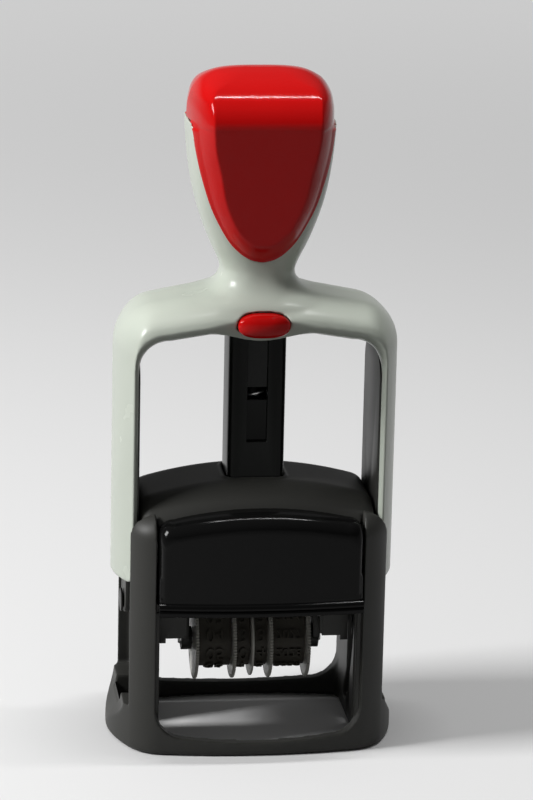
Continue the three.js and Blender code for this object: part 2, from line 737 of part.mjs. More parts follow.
// A block over a rectangle whose top is crowned both ways, and rounded at its rim.
function crownedBlock(halfX, halfY, low, top, dropX, dropY, rim) {
  const rounding = (place, half) => {
    const past = Math.max(0, Math.abs(place) - (half - rim)) / rim;
    return rim * (1 - Math.sqrt(Math.max(0, 1 - past * past)));
  };
  const height = (x, y) => {
    const crown = top - dropX * (x / halfX) ** 2 - dropY * (y / halfY) ** 2;
    return Math.max(crown - roofRimShare * (rounding(x, halfX) + rounding(y, halfY)), low + rim / 2);
  };
  const count = roofSpreadShares.length;
  const positions = [];
  for (const level of ["top", "base"]) {
    for (const v of roofSpreadShares) {
      for (const u of roofSpreadShares) {
        positions.push(u * halfX, v * halfY, level === "top" ? height(u * halfX, v * halfY) : low);
      }
    }
  }
  const index = [];
  const below = count * count;
  for (let j = 0; j + 1 < count; j++) {
    for (let i = 0; i + 1 < count; i++) {
      const a = j * count + i;
      index.push(a, a + 1, a + count + 1, a, a + count + 1, a + count);
      index.push(below + a, below + a + count + 1, below + a + 1);
      index.push(below + a, below + a + count, below + a + count + 1);
    }
    const front = j;
    const back = (count - 1) * count + j;
    const left = j * count;
    const right = j * count + count - 1;
    index.push(front, below + front, below + front + 1, front, below + front + 1, front + 1);
    index.push(back + 1, below + back + 1, below + back, back + 1, below + back, back);
    index.push(left + count, below + left + count, below + left, left + count, below + left, left);
    index.push(right, below + right, below + right + count, right, below + right + count, right + count);
  }
  const geometry = new THREE.BufferGeometry();
  geometry.setAttribute("position", new THREE.Float32BufferAttribute(positions, 3));
  geometry.setIndex(index);
  return solid(geometry);
}

function roof() {
  const dropX = roofFallX;
  const dropY = roofFallY;
  const outer = crownedBlock(roofHalfWidth, roofHalfDepth, roofBottom, roofCrown, dropX, dropY, roofEdgeRound);
  const inner = crownedBlock(
    roofHalfWidth - roofWall,
    roofHalfDepth - roofWall,
    roofBottom - cutOverrun,
    roofCrown - roofWall,
    dropX,
    dropY,
    roofEdgeRound,
  );
  const channel = channelHalfDepth - seatGap;
  const betweenPosts = windowHalfWidth - seatGap;
  const high = roofCrown + cutOverrun;
  const pastX = roofHalfWidth + cutOverrun;
  const pastY = roofHalfDepth + cutOverrun;
  const plan = box(-betweenPosts, betweenPosts, -pastY, pastY, 0, high).add(
    box(-pastX, pastX, -channel, channel, 0, high),
  );
  const innerX = betweenPosts - roofWall;
  const innerPlan = box(-innerX, innerX, -pastY, pastY, 0, high);
  let made = outer.intersect(plan).subtract(inner.intersect(innerPlan));
  for (const { side } of sides) {
    for (const end of [-1, 1]) {
      const x = side * screwX;
      const y = end * screwY;
      const boss = rod(screwBossRadius, roofBottom, roofEdgeY - roofWall, "z", x, y, 12);
      made = made.add(boss.intersect(outer));
      made = made.subtract(rod(coverScrewRadius + seatGap, roofBottom - cutOverrun, screwHoleTop, "z", x, y, 12));
    }
  }
  // small bosses over the column's flange, for its two screws
  for (const { side } of sides) {
    const x = side * flangeScrewX;
    made = made.add(rod(flangeBossRadius, columnFloor + seatGap, roofCrown - roofWall, "z", x, 0, 12));
    made = made.subtract(rod(flangeScrewRadius + seatGap, columnFloor, flangeScrewTop + seatGap, "z", x, 0, 10));
  }
  const hole = roundedRectangle(columnHalfWidth + seatGap, columnHalfDepth + seatGap, columnCorner + seatGap);
  return made.subtract(prism(hole, roofBottom, high));
}

add("top_cover", roof(), satinBlack);

for (const { side, name } of sides) {
  for (const [end, place] of [
    [-1, "front"],
    [1, "rear"],
  ]) {
    const underShelf = sideWallTop - shelfThickness - seatGap;
    const headLow = underShelf - coverScrewHeadThickness;
    const x = side * screwX;
    const y = end * screwY;
    const shank = rod(coverScrewRadius, underShelf - seatGap, screwHoleTop - seatGap, "z", x, y, 10);
    const head = rod(coverScrewHeadRadius, headLow, underShelf, "z", x, y, 14);
    add("cover_screw_" + place + "_" + name, shank.add(head), steel);
  }
}

// Guide column
function guideColumn() {
  const outline = roundedRectangle(columnHalfWidth, columnHalfDepth, columnCorner);
  let made = prism(outline, columnFoot, columnTop);
  made = made.add(rod(columnFlange, columnFoot, columnFloor, "z", 0, 0, 32));
  made = made.subtract(rod(columnBore, columnFloor, columnTop + cutOverrun, "z", 0, 0, 20));
  const groove = columnGrooveWidth / 2;
  const grooveLow = buttonZ - pressTravel - groove;
  const front = -columnHalfDepth - cutOverrun;
  const grooveBack = -columnHalfDepth + columnGrooveDepth;
  made = made.subtract(box(-groove, groove, front, grooveBack, grooveLow, columnTop + cutOverrun));
  const notch = columnNotchHeight / 2;
  made = made.subtract(box(-groove, groove, front, 0, columnNotchZ - notch, columnNotchZ + notch));
  const bore = flangeScrewRadius + seatGap;
  for (const { side } of sides) {
    const x = side * flangeScrewX;
    made = made.subtract(rod(bore, columnFoot - cutOverrun, columnFloor + cutOverrun, "z", x, 0, 12));
  }
  return made;
}

add("guide_column", guideColumn(), glossBlack);

for (const { side, name } of sides) {
  const headTop = columnFoot - seatGap;
  const x = side * flangeScrewX;
  const head = rod(flangeScrewHeadRadius, headTop - flangeScrewHeadThickness, headTop, "z", x, 0, 12);
  const shank = rod(flangeScrewRadius, headTop - seatGap, flangeScrewTop, "z", x, 0, 10);
  add("column_screw_" + name, head.add(shank), steel);
}

// Handle frame

// The outline of the crossbar and legs from the front, without the window between the legs.
function yokeOutline(inset) {
  const centreX = legHalfWidth - shoulderRound;
  const centreZ = shoulderEdge - shoulderRound;
  const right = [
    new THREE.Vector2(legHalfWidth - inset, legBottom),
    ...arc(centreX, centreZ, shoulderRound - inset, 0, shoulderTurn, 7),
    new THREE.Vector2(shoulderTopX, shoulderTop - inset),
  ];
  return [...right, ...right.map((p) => new THREE.Vector2(-p.x, p.y)).reverse()];
}

// The window between the legs, with its top hanging lower in the middle. Grown is how much wider it is.
function archOutline(grown) {
  const dip = [];
  for (let i = 0; i <= archSteps; i++) {
    const x = archWaveX - (archWaveX * i) / archSteps;
    const bump = (1 + Math.cos((Math.PI * x) / archWaveX)) / 2;
    dip.push(new THREE.Vector2(x, archTop - archMiddleDrop * bump + grown * (1 + archEyeShare * bump)));
  }
  const cornerX = legInside - archCorner;
  const right = [
    new THREE.Vector2(legInside + grown, legBottom - cutOverrun),
    ...arc(cornerX, archTop - archCornerDrop - archCorner, archCorner + grown, 0, Math.PI / 2, 6),
    ...dip,
  ];
  return [...right, ...right.slice(0, -1).map((p) => new THREE.Vector2(-p.x, p.y)).reverse()];
}

const standUp = (outline, y) => outline.map((p) => new THREE.Vector3(p.x, y, p.y));

function yoke() {
  const insets = yokeEdgeShares.map(([depth, inset]) => [yokeHalfDepth * depth, yokeEdge * inset]);
  const rings = [...insets.map(([y, inset]) => standUp(yokeOutline(inset), y))];
  rings.push(...insets.reverse().map(([y, inset]) => standUp(yokeOutline(inset), -y)));
  let made = loft(rings, seenFromFront);
  const plan = barrel(legHalfWidth, yokeHalfDepth, yokeCornerX, yokeCornerY, yokeCornerCut);
  made = made.intersect(prism(plan, legBottom - cutOverrun, shoulderTop + cutOverrun));
  // the lower ends of the legs are rounded towards the front and back
  const low = legBottom + legBottomRound;
  const endFrom = yokeCornerY - legBottomRound;
  const sideView = [
    new THREE.Vector2(yokeHalfDepth, shoulderTop + cutOverrun),
    new THREE.Vector2(-yokeHalfDepth, shoulderTop + cutOverrun),
    new THREE.Vector2(-yokeHalfDepth, low + yokeHalfDepth - yokeCornerY),
    ...arc(-endFrom, low, legBottomRound, Math.PI, 1.5 * Math.PI, 5),
    ...arc(endFrom, low, legBottomRound, 1.5 * Math.PI, 2 * Math.PI, 5),
    new THREE.Vector2(yokeHalfDepth, low + yokeHalfDepth - yokeCornerY),
  ];
  made = made.intersect(prism(sideView, -legHalfWidth, legHalfWidth, "x"));
  const past = yokeHalfDepth + cutOverrun;
  const flat = yokeHalfDepth - archChamferDepth;
  const widest = (archChamfer * (past - flat)) / archChamferDepth;
  const window = loft(
    [
      standUp(archOutline(widest), past),
      standUp(archOutline(0), flat),
      standUp(archOutline(0), -flat),
      standUp(archOutline(widest), -past),
    ],
    seenFromFront,
  );
  return made.subtract(window);
}

// A ring of the neck or cap: an ellipse that is squared off by its power.
function softRing(z, halfWidth, halfDepth, power) {
  return Array.from({ length: neckSides }, (_, i) => {
    const turn = (2 * Math.PI * i) / neckSides;
    const c = Math.cos(turn);
    const s = Math.sin(turn);
    const x = Math.sign(c) * halfWidth * Math.abs(c) ** (2 / power);
    return new THREE.Vector3(x, Math.sign(s) * halfDepth * Math.abs(s) ** (2 / power), z);
  });
}

const neckX = (wide) => neckWaistX + (neckHalfWidth - neckWaistX) * wide;
const neckY = (deep) => neckWaistY + (neckHalfDepth - neckWaistY) * deep;

// The neck's rings between two shares of its height, grown or shrunk all round.
function neckRings(grown, fromShare = 0, toShare = 1) {
  const rings = neckShares.filter(([height]) => height >= fromShare && height <= toShare);
  return rings.map(([height, wide, deep, power]) => {
    const z = neckFoot + neckHeight * height;
    return softRing(z, neckX(wide) + grown, neckY(deep) + grown, power);
  });
}

// The cap's rings: the upper neck rings and then the crown.
function capRings(grown, top) {
  const crown = crownShares.map(([height, wide, deep, power]) => {
    const z = capRim + (top - capRim) * height;
    return softRing(z, neckHalfWidth * wide + grown, faceFrontHigh * deep + grown, power);
  });
  return [...neckRings(grown, capFromShare, capToShare), ...crown];
}

// The outline that the cap covers, from the front: a shield below and all of the crown above.
function shieldOutline(grown) {
  const right = shieldShares.map(([height, wide]) => {
    const z = capTip + (capRim - capTip) * height;
    return new THREE.Vector2(shieldHalfWidth * wide + grown, z - grown * (1 - height));
  });
  const rise = capCrown + cutOverrun;
  const wide = neckHalfWidth + capProud + cutOverrun;
  const upper = [new THREE.Vector2(wide, capRim - grown), new THREE.Vector2(wide, rise)];
  const points = [new THREE.Vector2(0, capTip - grown), ...right, ...upper];
  const left = points.slice(1).map((p) => new THREE.Vector2(-p.x, p.y)).reverse();
  return [...points, ...left];
}

// The side view of an arm's liner, grown all round.
function linerOutline(grown) {
  const halfDepth = linerHalfDepth + grown;
  const corner = linerCorner + grown;
  const right = [
    new THREE.Vector2(halfDepth, linerBottom - grown),
    ...arc(halfDepth - corner, linerTop + grown - corner, corner, 0, Math.PI / 2, 5),
  ];
  return [...right, ...right.map((p) => new THREE.Vector2(-p.x, p.y)).reverse()];
}

function handleFrame() {
  const covered = prism(shieldOutline(seatGap), -faceFrontHigh - cutOverrun, faceFrontHigh + cutOverrun, "y");
  const neck = loft(neckRings(0), seenFromAbove).subtract(covered);
  const core = loft(neckRings(-capWall - seatGap, capFromShare), seenFromAbove);
  let made = yoke().add(neck).add(core);
  const cavity = roundedRectangle(columnHalfWidth + slideGap, columnHalfDepth + slideGap, columnCorner + slideGap);
  made = made.subtract(prism(cavity, archTop - archMiddleDrop - cutOverrun, neckCavityTop));
  const bore = plungerScrewRadius + seatGap;
  made = made.subtract(rod(bore, neckCavityTop - cutOverrun, neckTop + cutOverrun, "z", 0, 0, 14));
  for (const { side } of sides) {
    const channel = armHalfDepth + seatGap;
    const near = legInside - cutOverrun;
    const far = armOutside + seatGap;
    made = made.subtract(sideBox(side, near, far, -channel, channel, legBottom - cutOverrun, armTop + seatGap));
    const linerFar = linerOutside + seatGap;
    const liner = linerOutline(seatGap);
    made = made.subtract(side > 0 ? prism(liner, near, linerFar, "x") : prism(liner, -linerFar, -near, "x"));
    const screwBore = armScrewRadius + seatGap;
    made = made.subtract(sideRod(side, screwBore, far - cutOverrun, armScrewEnd + seatGap, 0, armScrewZ, 10));
  }
  // the lock button's pocket, and the slot that its stem goes through
  const pocketX = buttonHalfWidth + slideGap;
  const pocketZ = buttonHalfHeight + slideGap;
  const pocket = roundedRectangle(pocketX, pocketZ, pocketZ, 5);
  const lift = (p) => new THREE.Vector2(p.x, p.y + buttonZ);
  made = made.subtract(prism(pocket.map(lift), -buttonFront - cutOverrun, -buttonPocketFloor, "y"));
  const slotX = buttonStemWidth / 2 + seatGap;
  const slotZ = buttonStemHeight / 2 + seatGap;
  return made.subtract(box(-slotX, slotX, -buttonPocketFloor - cutOverrun, 0, buttonZ - slotZ, buttonZ + slotZ));
}

add("handle_frame", handleFrame(), shellGrey);

// Handle cap

// The raised front of a flap, from the skin of the cap out to a flat face that leans back downwards.
function flapFace(end) {
  const skin = [];
  const face = [];
  const place = (share) => {
    const at = neckShares.findIndex(([height]) => height > share);
    const [h0, w0, d0, p0] = neckShares[at - 1];
    const [h1, w1, d1, p1] = neckShares[at];
    const t = (share - h0) / (h1 - h0);
    return { x: neckX(w0 + t * (w1 - w0)), y: neckY(d0 + t * (d1 - d0)), power: p0 + t * (p1 - p0) };
  };
  for (const [height, wide, faceHeight, faceWide] of [...shieldShares].reverse()) {
    const z = capTip + (capRim - capTip) * height;
    const ring = place((z - neckFoot) / neckHeight);
    const x = shieldHalfWidth * wide;
    const depth = (1 - (x / ring.x) ** ring.power) ** (1 / ring.power);
    skin.push(new THREE.Vector3(x, -ring.y * depth + capWall / 2, z));
    const faceZ = capTip + (capRim - capTip) * faceHeight;
    const lean = (faceFrontLow - faceFrontHigh) * (1 - faceHeight);
    face.push(new THREE.Vector3(shieldHalfWidth * faceWide, -faceFrontHigh - lean, faceZ));
  }
  const both = (points) => {
    const mirrored = points.slice(0, -1).map((p) => new THREE.Vector3(-p.x, p.y, p.z));
    return [...mirrored, ...points.slice().reverse()];
  };
  // the edge between the skin and the flat face is convex
  const between = (share) => {
    const out = Math.sin((Math.PI / 2) * share);
    const over = 1 - Math.cos((Math.PI / 2) * share);
    return skin.map((p, i) => {
      const q = face[i];
      return new THREE.Vector3(p.x + (q.x - p.x) * over, p.y + (q.y - p.y) * out, p.z + (q.z - p.z) * over);
    });
  };
  const rings = flapEdgeShares.map((share) => {
    return both(between(share)).map((p) => new THREE.Vector3(p.x, -end * p.y, p.z));
  });
  if (end > 0) rings.reverse();
  return loft(rings, seenFromFront);
}

function handleCap() {
  const outer = loft(capRings(capProud, capCrown), seenFromAbove);
  const inner = loft(capRings(-capWall, capCrown - capWall), seenFromAbove);
  const covered = prism(shieldOutline(0), -faceFrontHigh - cutOverrun, faceFrontHigh + cutOverrun, "y");
  let made = outer.intersect(covered);
  for (const end of [-1, 1]) made = made.add(flapFace(end));
  return made.subtract(inner);
}

add("handle_cap", handleCap(), gripRed);

// Lock button, pressed in against a small spring so that its stem leaves the column's notch
function lockButton() {
  const oval = roundedRectangle(buttonHalfWidth, buttonHalfHeight, buttonHalfHeight, 6);
  const lift = (p) => new THREE.Vector2(p.x, p.y + buttonZ);
  const head = prism(oval.map(lift), -buttonFront, -buttonBack, "y");
  const x = buttonStemWidth / 2;
  const z = buttonStemHeight / 2;
  return head.add(box(-x, x, -buttonBack - seatGap, -buttonStemEnd, buttonZ - z, buttonZ + z));
}

add("lock_button", lockButton(), gripRed);

// Press arms inside the legs, with the screws that hold them and the pins that carry the die
for (const { side, name } of sides) {
  const low = pinZ - armBelowPin;
  const round = [];
  for (let i = 0; i <= 8; i++) {
    const turn = Math.PI * (1 + i / 8);
    round.push(new THREE.Vector2(armHalfDepth * Math.cos(turn), low + armEndRound + armEndRound * Math.sin(turn)));
  }
  const outline = [...round, new THREE.Vector2(armHalfDepth, armTop), new THREE.Vector2(-armHalfDepth, armTop)];
  let arm = side > 0 ? prism(outline, armInside, armOutside, "x") : prism(outline, -armOutside, -armInside, "x");
  const liner = linerOutline(0);
  arm = arm.add(side > 0 ? prism(liner, linerInside, linerOutside, "x") : prism(liner, -linerOutside, -linerInside, "x"));
  const near = armInside - cutOverrun;
  const far = armOutside + cutOverrun;
  arm = arm.subtract(sideRod(side, pinRadius + seatGap, near, far, 0, pinZ, 16));
  arm = arm.subtract(sideRod(side, armScrewRadius + seatGap, near, far, 0, armScrewZ, 12));
  // the screw's head is let into the arm
  const seat = armInside + armScrewHeadThickness;
  arm = arm.subtract(sideRod(side, armScrewHeadRadius + seatGap, near, seat + seatGap, 0, armScrewZ, 14));
  add("press_arm_" + name, arm, satinBlack);
  const screw = sideRod(side, armScrewHeadRadius, armInside, seat, 0, armScrewZ, 14).add(
    sideRod(side, armScrewRadius, armInside, armScrewEnd, 0, armScrewZ, 10),
  );
  add("arm_screw_" + name, screw, steel);
  const headStart = armOutside + seatGap;
  const pin = sideRod(side, pinRadius, pinInnerEnd, headStart + seatGap, 0, pinZ, 16).add(
    sideRod(side, pinHeadRadius, headStart, headStart + pinHeadThickness, 0, pinZ, 18),
  );
  add("pivot_pin_" + name, pin, steel);
}

// Plunger under the cap, which follows the handle down into the column, and its screw
function springPlunger() {
  const flangeTop = neckCavityTop - seatGap;
  const made = rod(plungerRadius, plungerTip, flangeTop, "z", 0, 0, 18).add(
    rod(plungerFlangeRadius, flangeTop - plungerFlangeThickness, flangeTop, "z", 0, 0, 24),
  );
  const screwEnd = neckTop + seatGap - plungerScrewLength;
  const bore = plungerScrewRadius + seatGap;
  return made.subtract(rod(bore, screwEnd - seatGap, flangeTop + cutOverrun, "z", 0, 0, 14));
}

add("spring_plunger", springPlunger(), satinBlack);

function plungerScrew() {
  const headLow = neckTop + seatGap;
  const head = rod(plungerScrewHeadRadius, headLow, headLow + plungerScrewHeadThickness, "z", 0, 0, 16);
  return head.add(rod(plungerScrewRadius, headLow - plungerScrewLength, headLow + seatGap, "z", 0, 0, 12));
}

add("plunger_screw", plungerScrew(), steel);

// The least distance between points of a tube that lie half a curl or more apart along it.
function leastGap(rings) {
  let least = Infinity;
  for (let a = 0; a < rings.length; a++) {
    for (let b = a + springSteps / 2; b < rings.length; b++) {
      for (const p of rings[a]) {
        for (const q of rings[b]) least = Math.min(least, p.distanceTo(q));
      }
    }
  }
  return least;
}

// A coil from low to high along z, round the middle. It is drawn as one tube with closed ends.
function coil(name, radius, wire, low, high, curls) {
  const first = low + wire / 2;
  const last = high - wire / 2;
  const total = springSteps * curls;
  const rings = Array.from({ length: total + 1 }, (_, i) => {
    const turn = (2 * Math.PI * i) / springSteps;
    const z = first + ((last - first) * i) / total;
    return Array.from({ length: springSides }, (_, k) => {
      const around = (2 * Math.PI * k) / springSides;
      const out = radius + (wire / 2) * Math.cos(around);
      return new THREE.Vector3(out * Math.cos(turn), out * Math.sin(turn), z + (wire / 2) * Math.sin(around));
    });
  });
  console.log(name + ": least gap between its curls " + leastGap(rings).toFixed(2) + " mm");
  const positions = rings.flat().flatMap((p) => [p.x, p.y, p.z]);
  const index = [];
  for (let r = 0; r < total; r++) {
    for (let k = 0; k < springSides; k++) {
      const a = r * springSides + k;
      const b = r * springSides + ((k + 1) % springSides);
      index.push(a, b + springSides, b, a, a + springSides, b + springSides);
    }
  }
  const end = total * springSides;
  for (let k = 1; k + 1 < springSides; k++) {
    index.push(0, k, k + 1);
    index.push(end, end + k + 1, end + k);
  }
  const geometry = new THREE.BufferGeometry();
  geometry.setAttribute("position", new THREE.Float32BufferAttribute(positions, 3));
  geometry.setIndex(index);
  geometry.computeVertexNormals();
  return geometry;
}

function addGeometry(name, geometry, finish) {
  const mesh = new THREE.Mesh(geometry, finish);
  mesh.name = name;
  group.add(mesh);
}

addGeometry(
  "return_spring",
  coil("return_spring", springRadius, springWire, columnFloor + seatGap, plungerTip - seatGap, springCurls),
  steel,
);

const buttonSpringGeometry = coil(
  "button_spring",
  buttonSpringRadius,
  buttonSpringWire,
  buttonPocketFloor + seatGap,
  buttonBack - seatGap,
  buttonSpringCurls,
);
buttonSpringGeometry.rotateX(Math.PI / 2);
buttonSpringGeometry.translate(0, 0, buttonZ);
addGeometry("button_spring", buttonSpringGeometry, steel);

// Ink drawer

// The bulged panel at the front or the rear, hollow from the side that faces the housing.
function panel(end, wall) {
  const halfWidth = drawerFrontCornerX - wall;
  const front = drawerFront - wall;
  const plan = [];
  for (let i = 0; i <= panelSteps; i++) {
    const x = -halfWidth + (2 * halfWidth * i) / panelSteps;
    plan.push(new THREE.Vector2(x, end * (front - drawerFrontBow * (x / halfWidth) ** 2)));
  }
  const back = wall > 0 ? drawerPanelBack - cutOverrun : drawerPanelBack;
  plan.push(new THREE.Vector2(halfWidth, end * back), new THREE.Vector2(-halfWidth, end * back));
  const low = drawerPanelBottom + wall;
  const high = drawerPanelTop - wall;
  let made = prism(plan, low, high);
  const round = drawerPanelRound - wall / 2;
  const sideView = [
    new THREE.Vector2(end * back, low),
    new THREE.Vector2(end * front, low),
    ...arc(front - round, high - round, round, 0, Math.PI / 2, 6).map((p) => new THREE.Vector2(end * p.x, p.y)),
    new THREE.Vector2(end * back, high),
  ];
  made = made.intersect(prism(sideView, -halfWidth, halfWidth, "x"));
  // the top is arched like the roof, with round ends
  const corner = drawerCornerRound - wall / 2;
  const archAt = (x) => high - roofFallX * (x / roofHalfWidth) ** 2;
  const cornerX = halfWidth - corner;
  const topRight = arc(cornerX, archAt(cornerX) - corner, corner, 0, Math.PI / 2, 5);
  for (let i = panelSteps - 1; i > 0; i--) {
    const x = (cornerX * i) / panelSteps;
    topRight.push(new THREE.Vector2(x, archAt(x)));
  }
  const topLeft = topRight.map((p) => new THREE.Vector2(-p.x, p.y)).reverse();
  const frontView = [
    new THREE.Vector2(-halfWidth, low),
    new THREE.Vector2(halfWidth, low),
    ...topRight,
    new THREE.Vector2(0, high),
    ...topLeft,
  ];
  return made.intersect(prism(frontView, -drawerFront, drawerFront, "y"));
}

// The lip under a panel, set back from its face.
function panelLip(end) {
  const halfWidth = drawerFrontCornerX - drawerLipInset;
  const front = drawerFront - drawerLipInset;
  const y = [end * (front - drawerFrontBow), end * drawerPanelBack].sort((a, b) => a - b);
  return box(-halfWidth, halfWidth, y[0], y[1], drawerLipBottom, drawerPanelBottom + drawerPanelWall);
}

function padCassette() {
  let made = panel(-1, 0).subtract(panel(-1, drawerPanelWall));
  made = made.add(panelLip(-1));
  made = made.add(box(-trayHalfWidth, trayHalfWidth, -trayFront, trayBack, trayBottom, trayTop));
  const inside = trayHalfWidth - trayWall;
  const floor = trayBottom + trayFloor;
  made = made.subtract(box(-inside, inside, -trayFront + trayWall, trayBack - trayWall, floor, trayTop + cutOverrun));
  const openX = padHalfWidth + seatGap;
  const openY = padHalfDepth + seatGap;
  return made.subtract(box(-openX, openX, -openY, openY, trayBottom - cutOverrun, floor + cutOverrun));
}

add("pad_cassette", padCassette(), glossBlack);

function inkPad() {
  const shoulder = trayBottom + trayFloor + seatGap;
  const lower = box(-padHalfWidth, padHalfWidth, -padHalfDepth, padHalfDepth, inkZ, shoulder + seatGap);
  const wide = padHalfWidth + padShoulder;
  const deep = trayBack - trayWall - seatGap;
  return lower.add(box(-wide, wide, -deep, deep, shoulder, shoulder + padRise));
}

add("ink_pad", inkPad(), padInk);

// The cover that closes the housing behind, alike to the drawer's panel
add("rear_cover", panel(1, 0).subtract(panel(1, drawerPanelWall)).add(panelLip(1)), glossBlack);

// Die
function dieCarrier() {
  let made = box(-dieHalfWidth, dieHalfWidth, -dieHalfDepth, dieHalfDepth, deckBottom, deckTop);
  const cheekLow = pinZ - dieCheekDrop;
  const bearingLow = axleZ - axleBearingBelow;
  const bearingFar = axleBearingX + axleBearingThickness;
  for (const { side } of sides) {
    const cheek = dieCheekHalfDepth;
    const cheekInside = dieHalfWidth - dieCheekThickness;
    made = made.add(sideBox(side, cheekInside, dieHalfWidth, -cheek, cheek, cheekLow, deckTop));
    const ear = dieEarHalfDepth;
    made = made.add(sideBox(side, cheekInside, dieHalfWidth, -ear, ear, deckBottom, pinZ + dieEarRise));
    const bearing = axleBearingHalfDepth;
    made = made.add(sideBox(side, axleBearingX, bearingFar, -bearing, bearing, bearingLow, deckTop));
    made = made.add(sideRod(side, axleBossRadius, axleBearingX - axleBossLength, bearingFar, 0, axleZ, 18));
    for (const end of [-1, 1]) {
      const y = [end * (cheek - dieWebThickness), end * cheek].sort((a, b) => a - b);
      made = made.add(sideBox(side, bearingFar, dieHalfWidth, y[0], y[1], dieWebBottom, deckTop));
    }
    made = made.add(sideRod(side, followerRadius, dieHalfWidth - seatGap, followerReach, -followerArm, pinZ, 12));
    const boreFrom = axleBearingX - axleBossLength - cutOverrun;
    made = made.subtract(sideRod(side, axleRadius + seatGap, boreFrom, bearingFar + cutOverrun, 0, axleZ, 14));
    made = made.subtract(
      sideRod(side, pinRadius + seatGap, pinInnerEnd - cutOverrun, dieHalfWidth + cutOverrun, 0, pinZ, 16),
    );
    const notch = bandBridgeSeat + seatGap;
    made = made.subtract(
      sideBox(side, 0, bandBridgeHalfLength + seatGap, -notch, notch, bridgeBottom - seatGap, deckTop + cutOverrun),
    );
  }
  const window = dieWindowHalfWidth;
  const deep = dieWindowHalfDepth;
  return made.subtract(box(-window, window, -deep, deep, deckBottom - cutOverrun, deckTop + cutOverrun));
}

add("die_carrier", dieCarrier(), satinBlack);

// The rubber text plate, with its opening for the date
const plateWindow = new THREE.Path([
  new THREE.Vector2(-plateWindowHalfWidth, -plateWindowHalfDepth),
  new THREE.Vector2(plateWindowHalfWidth, -plateWindowHalfDepth),
  new THREE.Vector2(plateWindowHalfWidth, plateWindowHalfDepth),
  new THREE.Vector2(-plateWindowHalfWidth, plateWindowHalfDepth),
]);
const plateOutline = roundedRectangle(plateHalfWidth, plateHalfDepth, plateCorner);
const plateLow = printRest - plateThickness;
add("text_plate", prism(plateOutline, plateLow, printRest, "z", [plateWindow.getPoints()]), rubberGrey);

// The bridge under the bands' printing faces
function bandBridge() {
  const seat = bandBridgeSeat;
  const low = box(-bandBridgeHalfLength, bandBridgeHalfLength, -seat, seat, bridgeBottom, deckTop);
  const high = plateWindowHalfWidth - seatGap;
  return low.add(box(-high, high, -seat, seat, bridgeBottom, bridgeTop));
}

add("band_bridge", bandBridge(), satinBlack);
add("band_axle", rod(axleRadius, -axleHalfLength, axleHalfLength, "x", 0, axleZ, 14), steel);

// Date wheels: a drum inside the band and a toothed rim beside it, turned with a finger
function dateWheel(side, drumFrom, drumTo) {
  const rim = [];
  for (let i = 0; i < wheelTeeth; i++) {
    for (const [share, deep] of wheelToothShares) {
      const turn = (2 * Math.PI * (i + share)) / wheelTeeth;
      const radius = wheelRadius - wheelToothDepth * deep;
      rim.push(new THREE.Vector2(radius * Math.cos(turn), axleZ + radius * Math.sin(turn)));
    }
  }
  const rimFrom = drumTo - wheelRimThickness;
  let made = side > 0 ? prism(rim, rimFrom, drumTo, "x") : prism(rim, -drumTo, -rimFrom, "x");
  made = made.add(sideRod(side, wheelDrumRadius, drumFrom, drumTo, 0, axleZ, 28));
  return made.subtract(
    sideRod(side, axleRadius + seatGap, drumFrom - cutOverrun, drumTo + cutOverrun, 0, axleZ, 14),
  );
}

// Date bands: a loop that runs over the bridge and round the drum
function dateBand(side, from, to) {
  const loop = (grown) => {
    const radius = wheelDrumRadius + seatGap + grown;
    const halfTop = bandBridgeHalfDepth + grown;
    const top = bandInside + grown;
    // the straight run leaves the round where a line from the bridge's corner touches it
    const away = Math.hypot(halfTop, top - axleZ);
    const turn = Math.atan2(top - axleZ, halfTop) - Math.acos(radius / away);
    const round = arc(0, axleZ, radius, Math.PI - turn, 2 * Math.PI + turn, 22);
    return [new THREE.Vector2(halfTop, top), new THREE.Vector2(-halfTop, top), ...round];
  };
  const outline = loop(bandThickness);
  const hole = loop(0);
  return side > 0 ? prism(outline, from, to, "x", [hole]) : prism(outline, -to, -from, "x", [hole]);
}

add("month_wheel", dateWheel(-1, wideBandStart, wideWheelEnd), wheelGrey);
add("tens_wheel", dateWheel(-1, narrowBandStart, narrowWheelEnd), wheelGrey);
add("units_wheel", dateWheel(1, narrowBandStart, narrowWheelEnd), wheelGrey);
add("year_wheel", dateWheel(1, wideBandStart, wideWheelEnd), wheelGrey);
add("month_band", dateBand(-1, wideBandStart, wideBandEnd), rubberGrey);
add("tens_band", dateBand(-1, narrowBandStart, narrowBandEnd), rubberGrey);
add("units_band", dateBand(1, narrowBandStart, narrowBandEnd), rubberGrey);
add("year_band", dateBand(1, wideBandStart, wideBandEnd), rubberGrey);

function wheelSeparator() {
  const half = separatorThickness / 2;
  const disc = rod(separatorRadius, -half, half, "x", 0, axleZ, 32);
  return disc.subtract(rod(axleRadius + seatGap, -half - cutOverrun, half + cutOverrun, "x", 0, axleZ, 14));
}

add("wheel_separator", wheelSeparator(), wheelGrey);

export default group;
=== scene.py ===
import math

import bmesh
import bpy
from mathutils import Matrix, Vector


